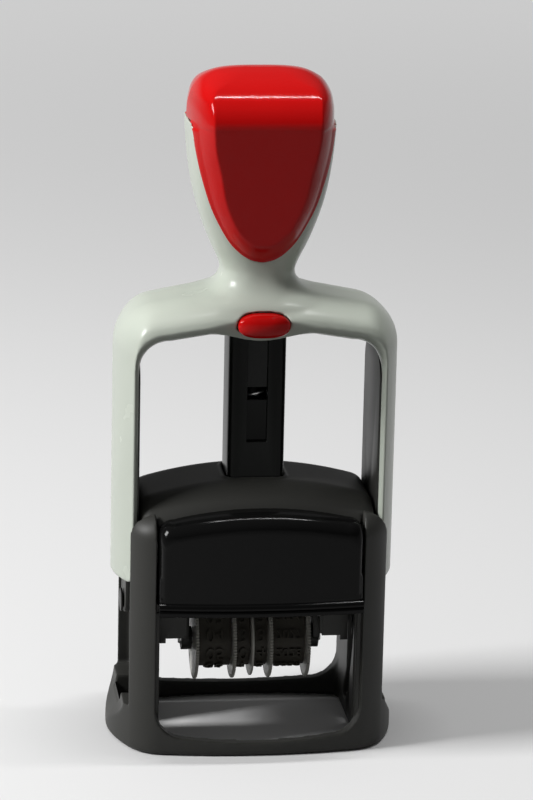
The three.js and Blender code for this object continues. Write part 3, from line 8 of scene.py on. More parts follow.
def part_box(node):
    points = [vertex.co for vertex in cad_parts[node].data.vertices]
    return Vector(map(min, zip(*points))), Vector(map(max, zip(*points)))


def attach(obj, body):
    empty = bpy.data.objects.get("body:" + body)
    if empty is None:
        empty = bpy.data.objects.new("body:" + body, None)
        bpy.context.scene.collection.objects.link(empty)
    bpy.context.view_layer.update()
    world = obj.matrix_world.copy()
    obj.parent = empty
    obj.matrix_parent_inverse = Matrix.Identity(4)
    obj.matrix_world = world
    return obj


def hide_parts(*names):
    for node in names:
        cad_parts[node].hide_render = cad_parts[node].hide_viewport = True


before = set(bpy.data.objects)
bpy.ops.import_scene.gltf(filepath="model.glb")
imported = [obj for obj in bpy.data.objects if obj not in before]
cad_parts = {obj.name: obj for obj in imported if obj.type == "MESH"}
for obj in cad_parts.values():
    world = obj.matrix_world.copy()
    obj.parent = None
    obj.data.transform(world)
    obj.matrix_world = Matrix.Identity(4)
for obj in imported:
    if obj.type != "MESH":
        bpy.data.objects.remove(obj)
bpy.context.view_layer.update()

# Photographer's table: the stamp stands on a wide sheet of pale grey paper. One soft lamp stands high on the
# left and slightly in front, and a long lens looks down a little from the left of the middle.
scene = bpy.context.scene
scene.view_settings.view_transform = "Standard"


def look_along(obj, place, target, roll=0.0):
    """Puts obj at place with its -Z towards target, turned by roll about that line."""
    back = (Vector(place) - Vector(target)).normalized()
    right = Vector((0, 0, 1)).cross(back).normalized()
    up = back.cross(right)
    turned = right * math.cos(roll) + up * math.sin(roll)
    rise = back.cross(turned)
    basis = Matrix((turned, rise, back)).transposed().to_4x4()
    obj.matrix_world = Matrix.Translation(place) @ basis


camera_data = bpy.data.cameras.new("camera")
camera_data.lens = 162
camera_data.sensor_width = 36
camera_data.clip_end = 20
camera = bpy.data.objects.new("camera", camera_data)
scene.collection.objects.link(camera)
scene.camera = camera
camera_turn = math.radians(-7.44)
camera_tilt = math.radians(15.54)
camera_roll = math.radians(1.28)
camera_distance = 0.968
camera_aim = Vector((0.0034, 0, 0.092))
camera_back = Vector(
    (
        math.sin(camera_turn) * math.cos(camera_tilt),
        -math.cos(camera_turn) * math.cos(camera_tilt),
        math.sin(camera_tilt),
    )
)
look_along(camera, camera_aim + camera_back * camera_distance, camera_aim, camera_roll)

paper_tone = 0.72
paper_bounce = 0.2
far_glow = 0.32
glow_reach = (0.45, 1.5)
paper_size = 12
paper_drop = 0.0002
paper = bpy.data.materials.new("grey_paper")
paper.use_nodes = True
tree = paper.node_tree
shader = tree.nodes["Principled BSDF"]
place = tree.nodes.new("ShaderNodeTexCoord")
split = tree.nodes.new("ShaderNodeSeparateXYZ")
tree.links.new(place.outputs["Object"], split.inputs[0])


def ramp_node(tree, source, low, high, start, end):
    """A smooth ramp from start to end while the source runs from low to high."""
    node = tree.nodes.new("ShaderNodeMapRange")
    node.interpolation_type = "SMOOTHSTEP"
    node.inputs["From Min"].default_value = low
    node.inputs["From Max"].default_value = high
    node.inputs["To Min"].default_value = start
    node.inputs["To Max"].default_value = end
    tree.links.new(source, node.inputs["Value"])
    return node.outputs["Result"]


def math_node(tree, operation, first, second):
    """A sum, product or limit of two sockets, or of a socket and a number."""
    node = tree.nodes.new("ShaderNodeMath")
    node.operation = operation
    for socket, value in zip(node.inputs, (first, second)):
        if isinstance(value, float):
            socket.default_value = value
        else:
            tree.links.new(value, socket)
    return node.outputs["Value"]


def seen_rays(tree):
    """1 for what the camera sees, also in gloss or through glass, and 0 for light on its way to the stamp."""
    rays = tree.nodes.new("ShaderNodeLightPath")
    seen = math_node(tree, "MAXIMUM", rays.outputs["Is Camera Ray"], rays.outputs["Is Glossy Ray"])
    return math_node(tree, "MAXIMUM", seen, rays.outputs["Is Transmission Ray"])


# the paper looks pale, and its far end glows with painted room light that only the camera and gloss see, but
# it throws little light on the stamp
seen = seen_rays(tree)
tree.links.new(ramp_node(tree, seen, 0, 1, paper_bounce, paper_tone), shader.inputs["Base Color"])
across = math_node(tree, "MULTIPLY", split.outputs["X"], split.outputs["X"])
along = math_node(tree, "MULTIPLY", split.outputs["Y"], split.outputs["Y"])
distance = math_node(tree, "POWER", math_node(tree, "ADD", across, along), 0.5)
glow = ramp_node(tree, distance, *glow_reach, 0, far_glow)
tree.links.new(math_node(tree, "MULTIPLY", glow, seen), shader.inputs["Emission Strength"])
shader.inputs["Emission Color"].default_value = (1, 1, 1, 1)
shader.inputs["Roughness"].default_value = 0.9
shader.inputs["Specular IOR Level"].default_value = 0.1
fibres = tree.nodes.new("ShaderNodeTexNoise")
fibres.inputs["Scale"].default_value = 900
paper_bump = tree.nodes.new("ShaderNodeBump")
paper_bump.inputs["Strength"].default_value = 0.04
paper_bump.inputs["Distance"].default_value = 0.0002
tree.links.new(fibres.outputs["Fac"], paper_bump.inputs["Height"])
tree.links.new(paper_bump.outputs["Normal"], shader.inputs["Normal"])
bpy.ops.mesh.primitive_plane_add(size=paper_size, location=(0, 0, -paper_drop))
floor = bpy.context.object
floor.name = "table_paper"
floor.data.materials.append(paper)


def add_lamp(name, place, target, size, power):
    """A soft rectangular lamp at a place, turned to its target."""
    data = bpy.data.lights.new(name, "AREA")
    data.shape = "RECTANGLE"
    data.size, data.size_y = size
    data.energy = power
    lamp = bpy.data.objects.new(name, data)
    scene.collection.objects.link(lamp)
    look_along(lamp, place, target)
    return lamp


add_lamp("window_light", (-1.18, -0.18, 0.89), (0, 0, 0.08), (0.42, 0.42), 23)
add_lamp("ceiling_tube", (0.14, 0.04, 1.26), (0.14, 0, 0.1), (0.6, 0.035), 6)

low_sky = 0.02
high_sky = 0.26
pale_wall = 0.5
wall_top = 0.45
world = bpy.data.worlds.new("room")
scene.world = world
world.use_nodes = True
tree = world.node_tree
coordinates = tree.nodes.new("ShaderNodeTexCoord")
split = tree.nodes.new("ShaderNodeSeparateXYZ")
tree.links.new(coordinates.outputs["Generated"], split.inputs[0])
sky = ramp_node(tree, split.outputs["Z"], 0, 1, low_sky, high_sky)
wall = ramp_node(tree, split.outputs["Z"], 0, wall_top, pale_wall, 0)
wall = math_node(tree, "MULTIPLY", wall, seen_rays(tree))
room_light = tree.nodes["Background"]
room_light.inputs["Color"].default_value = (1, 1, 1, 1)
tree.links.new(math_node(tree, "MAXIMUM", sky, wall), room_light.inputs["Strength"])

# Handle frame: one grey-green shell with a neck on a crossbar and two legs that slide outside the housing.
# It is injection moulded in polished plastic, so its faces run softly into each other.
handle_low, handle_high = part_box("handle_frame")
leg_out = handle_high.x
leg_inside = leg_out - 0.006
leg_bottom = handle_low.z
leg_bulge = 0.0058
yoke_front = handle_high.y
yoke_bow = 0.0026
yoke_corner_x = leg_out - leg_bulge
yoke_top_round = 0.0068
yoke_flat = 0.25
arch_top = leg_bottom + 0.0689
arch_corner = 0.008
arch_corner_z = arch_top - 0.0019 - arch_corner
arch_wave_x = 0.0138
arch_drop = 0.0022
arch_flare = 0.0028
arch_flare_depth = 0.0034
arch_eye = 2.0
arch_eye_width = 0.6
arch_eye_depth = 0.0016
arch_crease = 0.42
shoulder_top = arch_top + 0.0091
shoulder_edge = shoulder_top - 0.0024
shoulder_round = 0.0125
shoulder_turn = 1.43
shoulder_top_x = 0.012
neck_foot = shoulder_top - 0.0044
neck_top = handle_high.z
neck_half_width = 0.0196
neck_half_depth = yoke_front - 0.0014
neck_waist_x = 0.00975
neck_waist_y = 0.0112
# share of the neck's height, share from the waist to the full half width and half depth, how square
neck_profile = [
    (0.0, 1.195, 0.879, 2.6),
    (0.039, 1.195, 0.879, 2.6),
    (0.07, 0.805, 0.666, 2.6),
    (0.093, 0.415, 0.393, 2.6),
    (0.126, 0.161, 0.167, 2.6),
    (0.184, 0.0, 0.0, 2.6),
    (0.252, 0.112, 0.061, 2.6),
    (0.33, 0.307, 0.213, 2.7),
    (0.427, 0.512, 0.393, 2.8),
    (0.544, 0.707, 0.606, 3.0),
    (0.66, 0.844, 0.757, 3.1),
    (0.796, 0.941, 0.908, 3.2),
    (0.913, 0.99, 0.984, 3.3),
    (1.0, 1.0, 1.0, 3.4),
]
seam = 0.0003
cap_wall = 0.002
cap_lap = 0.0004
cap_low = 0.25
overrun = 0.003
leg_spare = 0.01
fill_height = 0.03
least_fill = 0.02
arch_straight = 0.02


def curve_through(points, steps):
    """A smooth line through points of any number of values, with that many steps between two of them."""
    path = []
    last = len(points) - 1
    for i in range(last):
        a = points[max(i - 1, 0)]
        b = points[i]
        c = points[i + 1]
        d = points[min(i + 2, last)]
        for k in range(steps):
            t = k / steps
            path.append(
                tuple(
                    q + 0.5 * t * (r - p + t * (2 * p - 5 * q + 4 * r - s + t * (3 * (q - r) + s - p)))
                    for p, q, r, s in zip(a, b, c, d)
                )
            )
    path.append(tuple(points[last]))
    return path


def arc(x, z, radius, start, end, steps):
    """Points of an arc about (x, z), with the angles in radians."""
    turns = [start + (end - start) * i / steps for i in range(steps + 1)]
    return [(x + radius * math.cos(turn), z + radius * math.sin(turn)) for turn in turns]


def circle(x, z, radius, sides):
    """Points of a whole circle about (x, z)."""
    return arc(x, z, radius, 0, 2 * math.pi * (sides - 1) / sides, sides - 1)


def mesh_object(name, vertices, faces):
    """A closed mesh with its faces turned outwards."""
    mesh = bpy.data.meshes.new(name)
    mesh.from_pydata([tuple(v) for v in vertices], [], faces)
    shape = bmesh.new()
    shape.from_mesh(mesh)
    bmesh.ops.recalc_face_normals(shape, faces=shape.faces)
    shape.to_mesh(mesh)
    shape.free()
    obj = bpy.data.objects.new(name, mesh)
    scene.collection.objects.link(obj)
    return obj


def loft(name, rings):
    """A skin through rings of like count, closed at both ends."""
    count = len(rings[0])
    faces = [tuple(range(count))]
    for r in range(len(rings) - 1):
        for i in range(count):
            a = r * count + i
            b = r * count + (i + 1) % count
            faces.append((a, b, b + count, a + count))
    faces.append(tuple(range((len(rings) - 1) * count, len(rings) * count)))
    return mesh_object(name, [p for ring in rings for p in ring], faces)


def prism(name, outline, low, high, axis):
    """A prism along an axis. The outline is given in Y and Z for x, X and Z for y, X and Y for z."""
    place = {
        "x": lambda u, v, w: (w, u, v),
        "y": lambda u, v, w: (u, w, v),
        "z": lambda u, v, w: (u, v, w),
    }[axis]
    return loft(name, [[place(u, v, w) for u, v in outline] for w in (low, high)])


def block(name, x0, x1, y0, y1, z0, z1):
    """A plain box to join on or to cut away."""
    return prism(name, [(x0, y0), (x1, y0), (x1, y1), (x0, y1)], z0, z1, "z")


def rounded(half_x, half_y, corner, steps=8):
    """A rectangle with round corners about the middle."""
    points = []
    for k, (sx, sy) in enumerate(((1, 1), (-1, 1), (-1, -1), (1, -1))):
        start = k * math.pi / 2
        centre = (sx * (half_x - corner), sy * (half_y - corner))
        points += arc(*centre, corner, start, start + math.pi / 2, steps)
    return points


def mirrored(points):
    """The points of a right-hand half, then of the left-hand half, back to the start."""
    left = [(-x, z) for x, z in reversed(points) if abs(x) > 1e-9]
    return list(points) + left


def settle(obj):
    """Applies the modifiers of obj."""
    graph = bpy.context.evaluated_depsgraph_get()
    mesh = bpy.data.meshes.new_from_object(obj.evaluated_get(graph))
    obj.modifiers.clear()
    obj.data = mesh
    return obj


def combine(operation, obj, *others):
    """Joins or cuts obj with the others, which are used up."""
    for other in others:
        change = obj.modifiers.new("combine", "BOOLEAN")
        change.operation = operation
        change.solver = "MANIFOLD"
        change.object = other
    settle(obj)
    for other in others:
        bpy.data.objects.remove(other)
    return obj


def cut(obj, *others):
    return combine("DIFFERENCE", obj, *others)


def join(obj, *others):
    return combine("UNION", obj, *others)


def keep(obj, *others):
    return combine("INTERSECT", obj, *others)


def fused(obj, voxel, rounds, weight=None, factor=0.5):
    """Rebuilds obj with even faces and softens its edges, by the share that weight gives at a point."""
    rebuild = obj.modifiers.new("rebuild", "REMESH")
    rebuild.mode = "VOXEL"
    rebuild.voxel_size = voxel
    rebuild.use_smooth_shade = True
    settle(obj)
    soften = obj.modifiers.new("soften", "SMOOTH")
    soften.factor = factor
    soften.iterations = rounds
    if weight:
        group = obj.vertex_groups.new(name="soft")
        shares = [(v.index, weight(v.co)) for v in obj.data.vertices]
        for index, share in shares:
            if share > 0:
                group.add([index], share, "REPLACE")
        soften.vertex_group = "soft"
    settle(obj)
    obj.data.shade_smooth()
    return obj


def ramp_between(value, low, high):
    """0 below low, 1 above high, and a smooth rise between."""
    share = min(max((value - low) / (high - low), 0.0), 1.0)
    return share * share * (3 - 2 * share)


def moulded(name, colour, roughness, grain=2600, depth=0.00002, shine=0.3):
    """A moulded plastic: its grain varies the gloss a little and dents the surface finely."""
    material = bpy.data.materials.new(name)
    material.use_nodes = True
    tree = material.node_tree
    shader = tree.nodes["Principled BSDF"]
    shader.inputs["IOR"].default_value = 1.46
    shader.inputs["Specular IOR Level"].default_value = shine
    place = tree.nodes.new("ShaderNodeTexCoord")
    fine = tree.nodes.new("ShaderNodeTexNoise")
    fine.inputs["Scale"].default_value = grain
    fine.inputs["Detail"].default_value = 3
    broad = tree.nodes.new("ShaderNodeTexNoise")
    broad.inputs["Scale"].default_value = 60
    broad.inputs["Detail"].default_value = 4
    tree.links.new(place.outputs["Object"], fine.inputs["Vector"])
    tree.links.new(place.outputs["Object"], broad.inputs["Vector"])
    tone = tree.nodes.new("ShaderNodeMix")
    tone.data_type = "RGBA"
    tone.inputs["A"].default_value = (*(c * 0.94 for c in colour), 1)
    tone.inputs["B"].default_value = (*(min(c * 1.05, 1) for c in colour), 1)
    tree.links.new(broad.outputs["Fac"], tone.inputs["Factor"])
    tree.links.new(tone.outputs["Result"], shader.inputs["Base Color"])
    gloss = tree.nodes.new("ShaderNodeMapRange")
    gloss.inputs["To Min"].default_value = roughness * 0.85
    gloss.inputs["To Max"].default_value = roughness * 1.15
    tree.links.new(broad.outputs["Fac"], gloss.inputs["Value"])
    tree.links.new(gloss.outputs["Result"], shader.inputs["Roughness"])
    bump = tree.nodes.new("ShaderNodeBump")
    bump.inputs["Strength"].default_value = 0.5
    bump.inputs["Distance"].default_value = depth
    tree.links.new(fine.outputs["Fac"], bump.inputs["Height"])
    tree.links.new(bump.outputs["Normal"], shader.inputs["Normal"])
    return material


def finish_piece(obj, material, body, slot, *nodes):
    """Gives a piece its material and the body that it moves with, and hides the nodes that it replaces. The
    slot is not used.
    """
    obj.data.materials.clear()
    obj.data.materials.append(material)
    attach(obj, body)
    if nodes:
        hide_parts(*nodes)
    return obj


def soft_ring(z, half_width, half_depth, power, count=88):
    """A ring of the neck or the cap: an ellipse that is squared off by its power."""
    ring = []
    for i in range(count):
        turn = 2 * math.pi * i / count
        c = math.cos(turn)
        s = math.sin(turn)
        x = math.copysign(half_width * abs(c) ** (2 / power), c)
        y = math.copysign(half_depth * abs(s) ** (2 / power), s)
        ring.append((x, y, z))
    return ring


def neck_rings(grown, low_share=0.0, high_share=1.0):
    """The neck's rings between two shares of its height, grown outwards."""
    rings = []
    for share, wide, deep, power in curve_through(neck_profile, 5):
        if low_share <= share <= high_share:
            half_width = neck_waist_x + (neck_half_width - neck_waist_x) * wide + grown
            half_depth = neck_waist_y + (neck_half_depth - neck_waist_y) * deep + grown
            rings.append(soft_ring(neck_foot + (neck_top - neck_foot) * share, half_width, half_depth, power))
    return rings


def yoke_depth(x):
    """Half the handle's depth at x: its front and back are bowed."""
    return yoke_front - yoke_bow * (min(abs(x), leg_out) / yoke_corner_x) ** 2


def yoke_solid():
    """The crossbar and legs without the window between them."""
    centre_x = leg_out - shoulder_round
    centre_z = shoulder_edge - shoulder_round
    low = leg_bottom - leg_spare
    right = [(leg_out, low + (centre_z - low) * i / 8) for i in range(8)]
    right += arc(centre_x, centre_z, shoulder_round, 0, shoulder_turn, 20)
    edge_x, edge_z = right[-1]
    crest = [(edge_x, edge_z), (shoulder_top_x, shoulder_top), (0, shoulder_top)]
    right += curve_through(crest, 6)[1:]
    outline = mirrored(right)
    count = len(outline)
    normals = []
    for i in range(count):
        x0, z0 = outline[i - 1]
        x1, z1 = outline[(i + 1) % count]
        size = math.hypot(x1 - x0, z1 - z0)
        normals.append(((z1 - z0) / size, -(x1 - x0) / size))
    middle_z = leg_bottom + fill_height

    def ring(t, fill):
        past = max(0.0, (abs(t) - yoke_flat) / (1 - yoke_flat))
        round_off = yoke_top_round * (1 - math.sqrt(1 - past * past))
        points = []
        for (x, z), (nx, nz) in zip(outline, normals):
            bulge = leg_bulge * (t * yoke_depth(x) / (yoke_front - yoke_bow)) ** 2
            inset_x = nx * abs(nx) * bulge
            inset_z = max(nz, 0.0) * round_off
            px = (x - inset_x) * fill
            pz = middle_z + (z - inset_z - middle_z) * fill
            points.append((px, t * yoke_depth(px), pz))
        return points

    fills = [least_fill] + [i / 12 for i in range(1, 12)]
    depths = [-1 + 2 * i / 60 for i in range(61)]
    rings = [ring(-1, fill) for fill in fills]
    rings += [ring(t, 1) for t in depths]
    rings += [ring(1, fill) for fill in reversed(fills)]
    return loft("handle_moulding", rings)


def arch_window():
    """The window between the legs. It flares towards the front and back, tallest round the lock button."""
    dip = []
    for i in range(25):
        x = arch_wave_x * (1 - i / 24)
        wave = (1 + math.cos(math.pi * x / arch_wave_x)) / 2
        dip.append((x, arch_top - arch_drop * wave, wave))
    corner_x = leg_inside - arch_corner
    right = [(leg_inside, leg_bottom - overrun, 0.0), (leg_inside, arch_corner_z - arch_straight, 0.0)]
    right += [(x, z, 0.0) for x, z in arc(corner_x, arch_corner_z, arch_corner, 0, math.pi / 2, 14)]
    right += dip
    outline = right + [(-x, z, wave) for x, z, wave in reversed(right[:-1])]
    count = len(outline)

    def ring(share, side):
        points = []
        for i in range(count):
            x, z, wave = outline[i]
            x0, z0, _ = outline[max(i - 1, 0)]
            x1, z1, _ = outline[min(i + 1, count - 1)]
            size = math.hypot(x1 - x0, z1 - z0)
            over = share * (1 + arch_crease * (share - 1))
            out = share * (1 - arch_crease * (share - 1))
            swell = wave ** arch_eye_width
            if share > 1:
                over = share
            grown = arch_flare * ((1 - wave) * over + wave * share + swell * arch_eye * share)
            reach = (arch_flare_depth + arch_eye_depth * swell) * ((1 - wave) * out + wave * share - 1)
            depth = yoke_front + overrun if share > 1 else yoke_depth(x) + reach
            nx = (z1 - z0) / size
            nz = -(x1 - x0) / size
            points.append((x + nx * grown, side * depth, z + nz * grown))
        return points

    shares = [i / 8 for i in range(9)] + [2]
    rings = [ring(share, -1) for share in reversed(shares)] + [ring(share, 1) for share in shares]
    return loft("arch_window", rings)


handle = yoke_solid()
handle = join(handle, loft("neck", neck_rings(0)))
soft_share = 0.55
soft_from = (shoulder_top - 0.004, shoulder_top + 0.001)
soft_until = (shoulder_top + 0.006, shoulder_top + 0.014)


def at_neck_foot(point):
    """How much the handle is softened at a point: most where the neck runs into the crossbar."""
    return soft_share * ramp_between(point.z, *soft_from) * (1 - ramp_between(point.z, *soft_until))


fused(handle, voxel=0.0006, rounds=60, weight=at_neck_foot)

# the shield that the cap covers, from the front
shield_tip = neck_foot + 0.0137
shield_top = neck_top - 0.0011
shield_half_width = neck_half_width - 0.0008
# share of the shield's height and half width, then the same for its flat face
shield_profile = [
    (0.0, 0.0, 0.142, 0.0),
    (0.023, 0.18, 0.15, 0.127),
    (0.08, 0.344, 0.188, 0.243),
    (0.165, 0.492, 0.25, 0.365),
    (0.307, 0.651, 0.364, 0.481),
    (0.449, 0.772, 0.494, 0.571),
    (0.648, 0.889, 0.665, 0.635),
    (0.818, 0.963, 0.824, 0.712),
    (0.93, 0.995, 0.93, 0.74),
    (1.0, 1.03, 1.005, 0.75),
]
cap_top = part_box("handle_cap")[1].z


def shield_z(share):
    return shield_tip + (shield_top - shield_tip) * share


def shield_prism(name, grown):
    """A prism through the neck with the outline of the cap and its flaps, grown outwards."""
    right = []
    for share, wide, _, _ in curve_through(shield_profile, 5):
        x = shield_half_width * wide + grown * min(1, 8 * wide)
        right.append((x, shield_z(share) - grown * (1 - share)))
    far = neck_half_width + overrun
    right += [(far, shield_top - grown), (far, cap_top + overrun)]
    return prism(name, mirrored(right), -yoke_front - overrun, yoke_front + overrun, "y")


cut(handle, shield_prism("covered", -cap_lap))
join(handle, loft("core", neck_rings(-cap_wall - seam, cap_low)))

column_low, column_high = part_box("guide_column")
column_half_width = 0.0077
column_half_depth = 0.0075
column_corner = 0.0026
slide = 0.0005
room_top = neck_top - 0.0059
room = rounded(column_half_width + slide, column_half_depth + slide, column_corner + slide)
arm_low, arm_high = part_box("press_arm_right")
liner_thickness = 0.0012
button_low, button_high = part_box("lock_button")
button_z = (button_low.z + button_high.z) / 2
button_half_width = button_high.x
button_half_height = (button_high.z - button_low.z) / 2
pocket_floor = 0.0106
button_gap = 0.00028
stem_half_width = 0.0022
stem_half_height = 0.0012
oval_power = 2.5
leg_end_round = 0.005
screw_bore = 0.0019
arm_channel_half = 0.0068
arm_channel_top = arch_top - 0.008
liner_corner = 0.006
room_low = arch_top - 0.01
cutters = [arch_window(), prism("column_room", room, room_low, room_top, "z")]
cutters.append(prism("screw_bore", circle(0, 0, screw_bore, 24), room_top - overrun, neck_top + overrun, "z"))
for side in (-1, 1):
    near = side * (leg_inside - overrun)
    arm_out = side * (arm_high.x + seam)
    liner_out = side * (arm_low.x + liner_thickness + seam)
    channel = (*sorted((near, arm_out)), -arm_channel_half, arm_channel_half)
    cutters.append(block("arm_channel", *channel, leg_bottom - overrun, arm_channel_top))
    half = arm_high.y + seam
    low = leg_bottom + leg_end_round - seam
    high = arm_high.z + seam
    liner = [(half, low)] + arc(half - liner_corner, high - liner_corner, liner_corner, 0, math.pi / 2, 8)
    cutters.append(prism("liner_channel", mirrored(liner), *sorted((near, liner_out)), "x"))
pocket_ring = soft_ring(0, button_half_width + button_gap, button_half_height + button_gap, oval_power, 64)
lock_pocket = [(x, button_z + z) for x, z, _ in pocket_ring]
cutters.append(prism("lock_pocket", lock_pocket, -yoke_front - overrun, -pocket_floor, "y"))
cutters.append(
    block(
        "stem_slot",
        -stem_half_width - seam,
        stem_half_width + seam,
        -pocket_floor - overrun,
        0,
        button_z - stem_half_height - seam,
        button_z + stem_half_height + seam,
    )
)
cut(handle, *cutters)
leg_end = yoke_front - yoke_bow
end_y = leg_end - leg_end_round
end_z = leg_bottom + leg_end_round
side_view = [(yoke_front + overrun, neck_top + overrun), (-yoke_front - overrun, neck_top + overrun)]
side_view += [(-yoke_front - overrun, end_z)]
side_view += arc(-end_y, end_z, leg_end_round, math.pi, 1.5 * math.pi, 10)
side_view += arc(end_y, end_z, leg_end_round, 1.5 * math.pi, 2 * math.pi, 10)
side_view += [(yoke_front + overrun, end_z)]
keep(handle, prism("leg_ends", side_view, -leg_out - overrun, leg_out + overrun, "x"))
fused(handle, voxel=0.00036, rounds=3)
shell_grey = moulded("shell_grey_plastic", (0.53, 0.57, 0.50), 0.26, depth=0.000008)
finish_piece(handle, shell_grey, "handle", "shell_grey", "handle_frame")

# Handle cap: the red grip, a moulded shell with a crown and a shield-shaped flap in front and behind.
# It snaps over the neck and hides the plunger's screw.
cap_proud = 0.0002
cap_high = 0.97
face_front = neck_half_depth + 0.0016
face_lean = 0.0046
# share from the rim to the crown's top, half width over the neck's, half depth over the flat face's, and how
# wide the flat front is
crown_profile = [
    (0.0, 0.985, 0.993, 1.0),
    (0.118, 0.985, 0.989, 1.0),
    (0.265, 0.98, 0.957, 1.0),
    (0.412, 0.96, 0.9, 1.0),
    (0.559, 0.925, 0.808, 1.0),
    (0.706, 0.86, 0.665, 0.9),
    (0.816, 0.775, 0.51, 0.66),
    (0.926, 0.61, 0.3, 0.4),
    (0.98, 0.41, 0.15, 0.22),
    (1.0, 0.2, 0.06, 0.1),
]
face_half_width = shield_half_width * 0.75
crown_side = 0.55
flap_side = 0.3


def eased(share, ease):
    """A rise from 0 to 1 that starts fast and ends slowly for a positive ease."""
    return share * (1 + ease * (1 - share))


def crown_ring(z, half_width, front, grown, flat, ease):
    """A ring of the crown: a flat front and back as wide as the flaps' faces, then a curve to the side."""
    half_width += grown
    front += grown
    quarter = [(0.0, front), (flat / 2, front)]
    for i in range(17):
        share = i / 17
        quarter.append((flat + (half_width - flat) * eased(share, ease), front * (1 - eased(share, -ease))))
    right = [(x, -y) for x, y in quarter] + [(half_width, 0.0)] + [(x, y) for x, y in reversed(quarter)]
    return [(x, y, z) for x, y in right] + [(-x, y, z) for x, y in reversed(right[1:-1])]


def cap_rings(grown, top):
    """The crown's rings from the shield's top up to a height."""
    rings = []
    for share, wide, deep, flat in curve_through(crown_profile, 5):
        z = shield_top + (top - shield_top) * share
        ease = crown_side + (1 - crown_side) * share ** 2
        half_width = neck_half_width * wide
        rings.append(crown_ring(z, half_width, face_front * deep, grown, face_half_width * flat, ease))
    return rings


def neck_skin(x, z):
    """How far the neck reaches towards the front at x and z."""
    share = (z - neck_foot) / (neck_top - neck_foot)
    for low, high in zip(neck_profile, neck_profile[1:]):
        if low[0] <= share <= high[0]:
            t = (share - low[0]) / (high[0] - low[0])
            wide, deep, power = (a + t * (b - a) for a, b in zip(low[1:], high[1:]))
            half_width = neck_waist_x + (neck_half_width - neck_waist_x) * wide
            half_depth = neck_waist_y + (neck_half_depth - neck_waist_y) * deep
            return half_depth * (1 - min(abs(x) / half_width, 1) ** power) ** (1 / power)


def flap(side):
    """The raised front of a flap: a flat face with a crisp edge and a convex side down to the neck's skin."""
    skin = []
    face = []
    for share, wide, face_share, face_wide in reversed(curve_through(shield_profile, 4)):
        z = shield_z(share)
        x = shield_half_width * wide
        skin.append(Vector((x, neck_skin(x, z) - cap_wall / 2, z)))
        front = face_front - face_lean * (1 - face_share)
        face.append(Vector((shield_half_width * face_wide, front, shield_z(face_share))))
    rings = []
    for i in range(11):
        share = i / 10
        right = []
        for a, b in zip(skin, face):
            out = eased(share, flap_side)
            over = eased(share, -flap_side)
            right.append((a.x + (b.x - a.x) * over, a.y + (b.y - a.y) * out, a.z + (b.z - a.z) * over))
        ring = right + [(-x, y, z) for x, y, z in reversed(right[:-1])]
        rings.append([(x, side * y, z) for x, y, z in ring])
    return loft("flap", rings)


cap = loft("cap_moulding", neck_rings(cap_proud, cap_low, cap_high))
keep(cap, shield_prism("cap_outline", 0))
join(cap, flap(-1), flap(1), loft("crown", cap_rings(cap_proud, cap_top)))
cap_room = loft("cap_room", neck_rings(-cap_wall, cap_low, cap_high))
join(cap_room, loft("crown_room", cap_rings(-cap_wall, cap_top - cap_wall)))
cut(cap, cap_room)
fused(cap, voxel=0.0003, rounds=3)
grip_red = moulded("grip_red_plastic", (0.54, 0.004, 0.004), 0.09, depth=0.000004, shine=0.13)
finish_piece(cap, grip_red, "handle", "grip_red", "handle_cap")

# Lock button: a glossy red oval with a pillow front, moulded in the cap's plastic. It is pressed in to free
# the column, and its stem fits the notch of the column.
button_front = -button_low.y
button_back = button_front - 0.0046
button_round = 0.0024
stem_end = column_half_depth + slide


def oval(share, depth):
    """A ring of the button: an ellipse that is a little squared off."""
    ring = soft_ring(0, button_half_width * share, button_half_height * share, oval_power, 64)
    return [(x, -depth, button_z + z) for x, z, _ in ring]


rings = []
for i in range(1, 15):
    turn = math.pi / 2 * i / 14
    rings.append(oval(math.sin(turn), button_front - button_round * (1 - math.cos(turn))))
rings.append(oval(1, button_back))
button = loft("lock_button_moulding", rings)
stem_x = (-stem_half_width, stem_half_width)
stem_z = (button_z - stem_half_height, button_z + stem_half_height)
join(button, block("stem", *stem_x, -button_back - seam, -stem_end, *stem_z))
fused(button, voxel=0.0002, rounds=4)
finish_piece(button, grip_red, "button", "grip_red", "lock_button")

# Foot frame: a black ring on the table with four corner posts and a wall on each side that guides the die.
# It is one satin moulding.
foot_low, foot_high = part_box("base_frame")
foot_half_width = foot_high.x
foot_half_depth = foot_high.y
foot_corner_x = foot_half_width - 0.0077
foot_corner_y = foot_half_depth - 0.0032
foot_corner_cut = 0.0046
foot_bar = 0.0034
foot_edge = 0.0005
foot_rows = (foot_edge, 0.02, 0.045)
paper_room_bow = 0.0026
post_top = foot_high.z
post_round = 0.0075
window_half_width = 0.0277
window_sill = 0.0046
sill_sag = 0.0011
window_corner = 0.008
wall_outside = window_half_width + 0.0032
side_wall_top = post_top - 0.0048
channel_half_depth = yoke_front - yoke_bow + 0.0006
flare_top = 0.012
flare_bottom = 0.0022
scoop_round = 0.0075
scoop_share = 0.9
arm_half_depth = 0.0065
arm_pocket_out = arm_high.x + seam + 0.0006 + slide
pin_radius = 0.0019
pin_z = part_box("pivot_pin_right")[0].z + 0.0032
travel = 0.032
follower_radius = 0.0013
follower_arm = 0.006
groove_depth = 0.0014
groove_steps = 24
tray_low, tray_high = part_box("pad_cassette")
tray_bottom = tray_low.z + 0.0013
rail_height = 0.0016
rib_reach = 0.0012
rib_width = 0.0013
rib_places = (-0.0205, -0.0165)
rail_reach = 0.0013
roof_low, roof_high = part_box("top_cover")
screw_low, screw_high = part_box("cover_screw_front_right")
screw_x = (screw_low.x + screw_high.x) / 2
screw_y = -(screw_low.y + screw_high.y) / 2
shelf_half = 0.0026
shelf_thickness = 0.0032


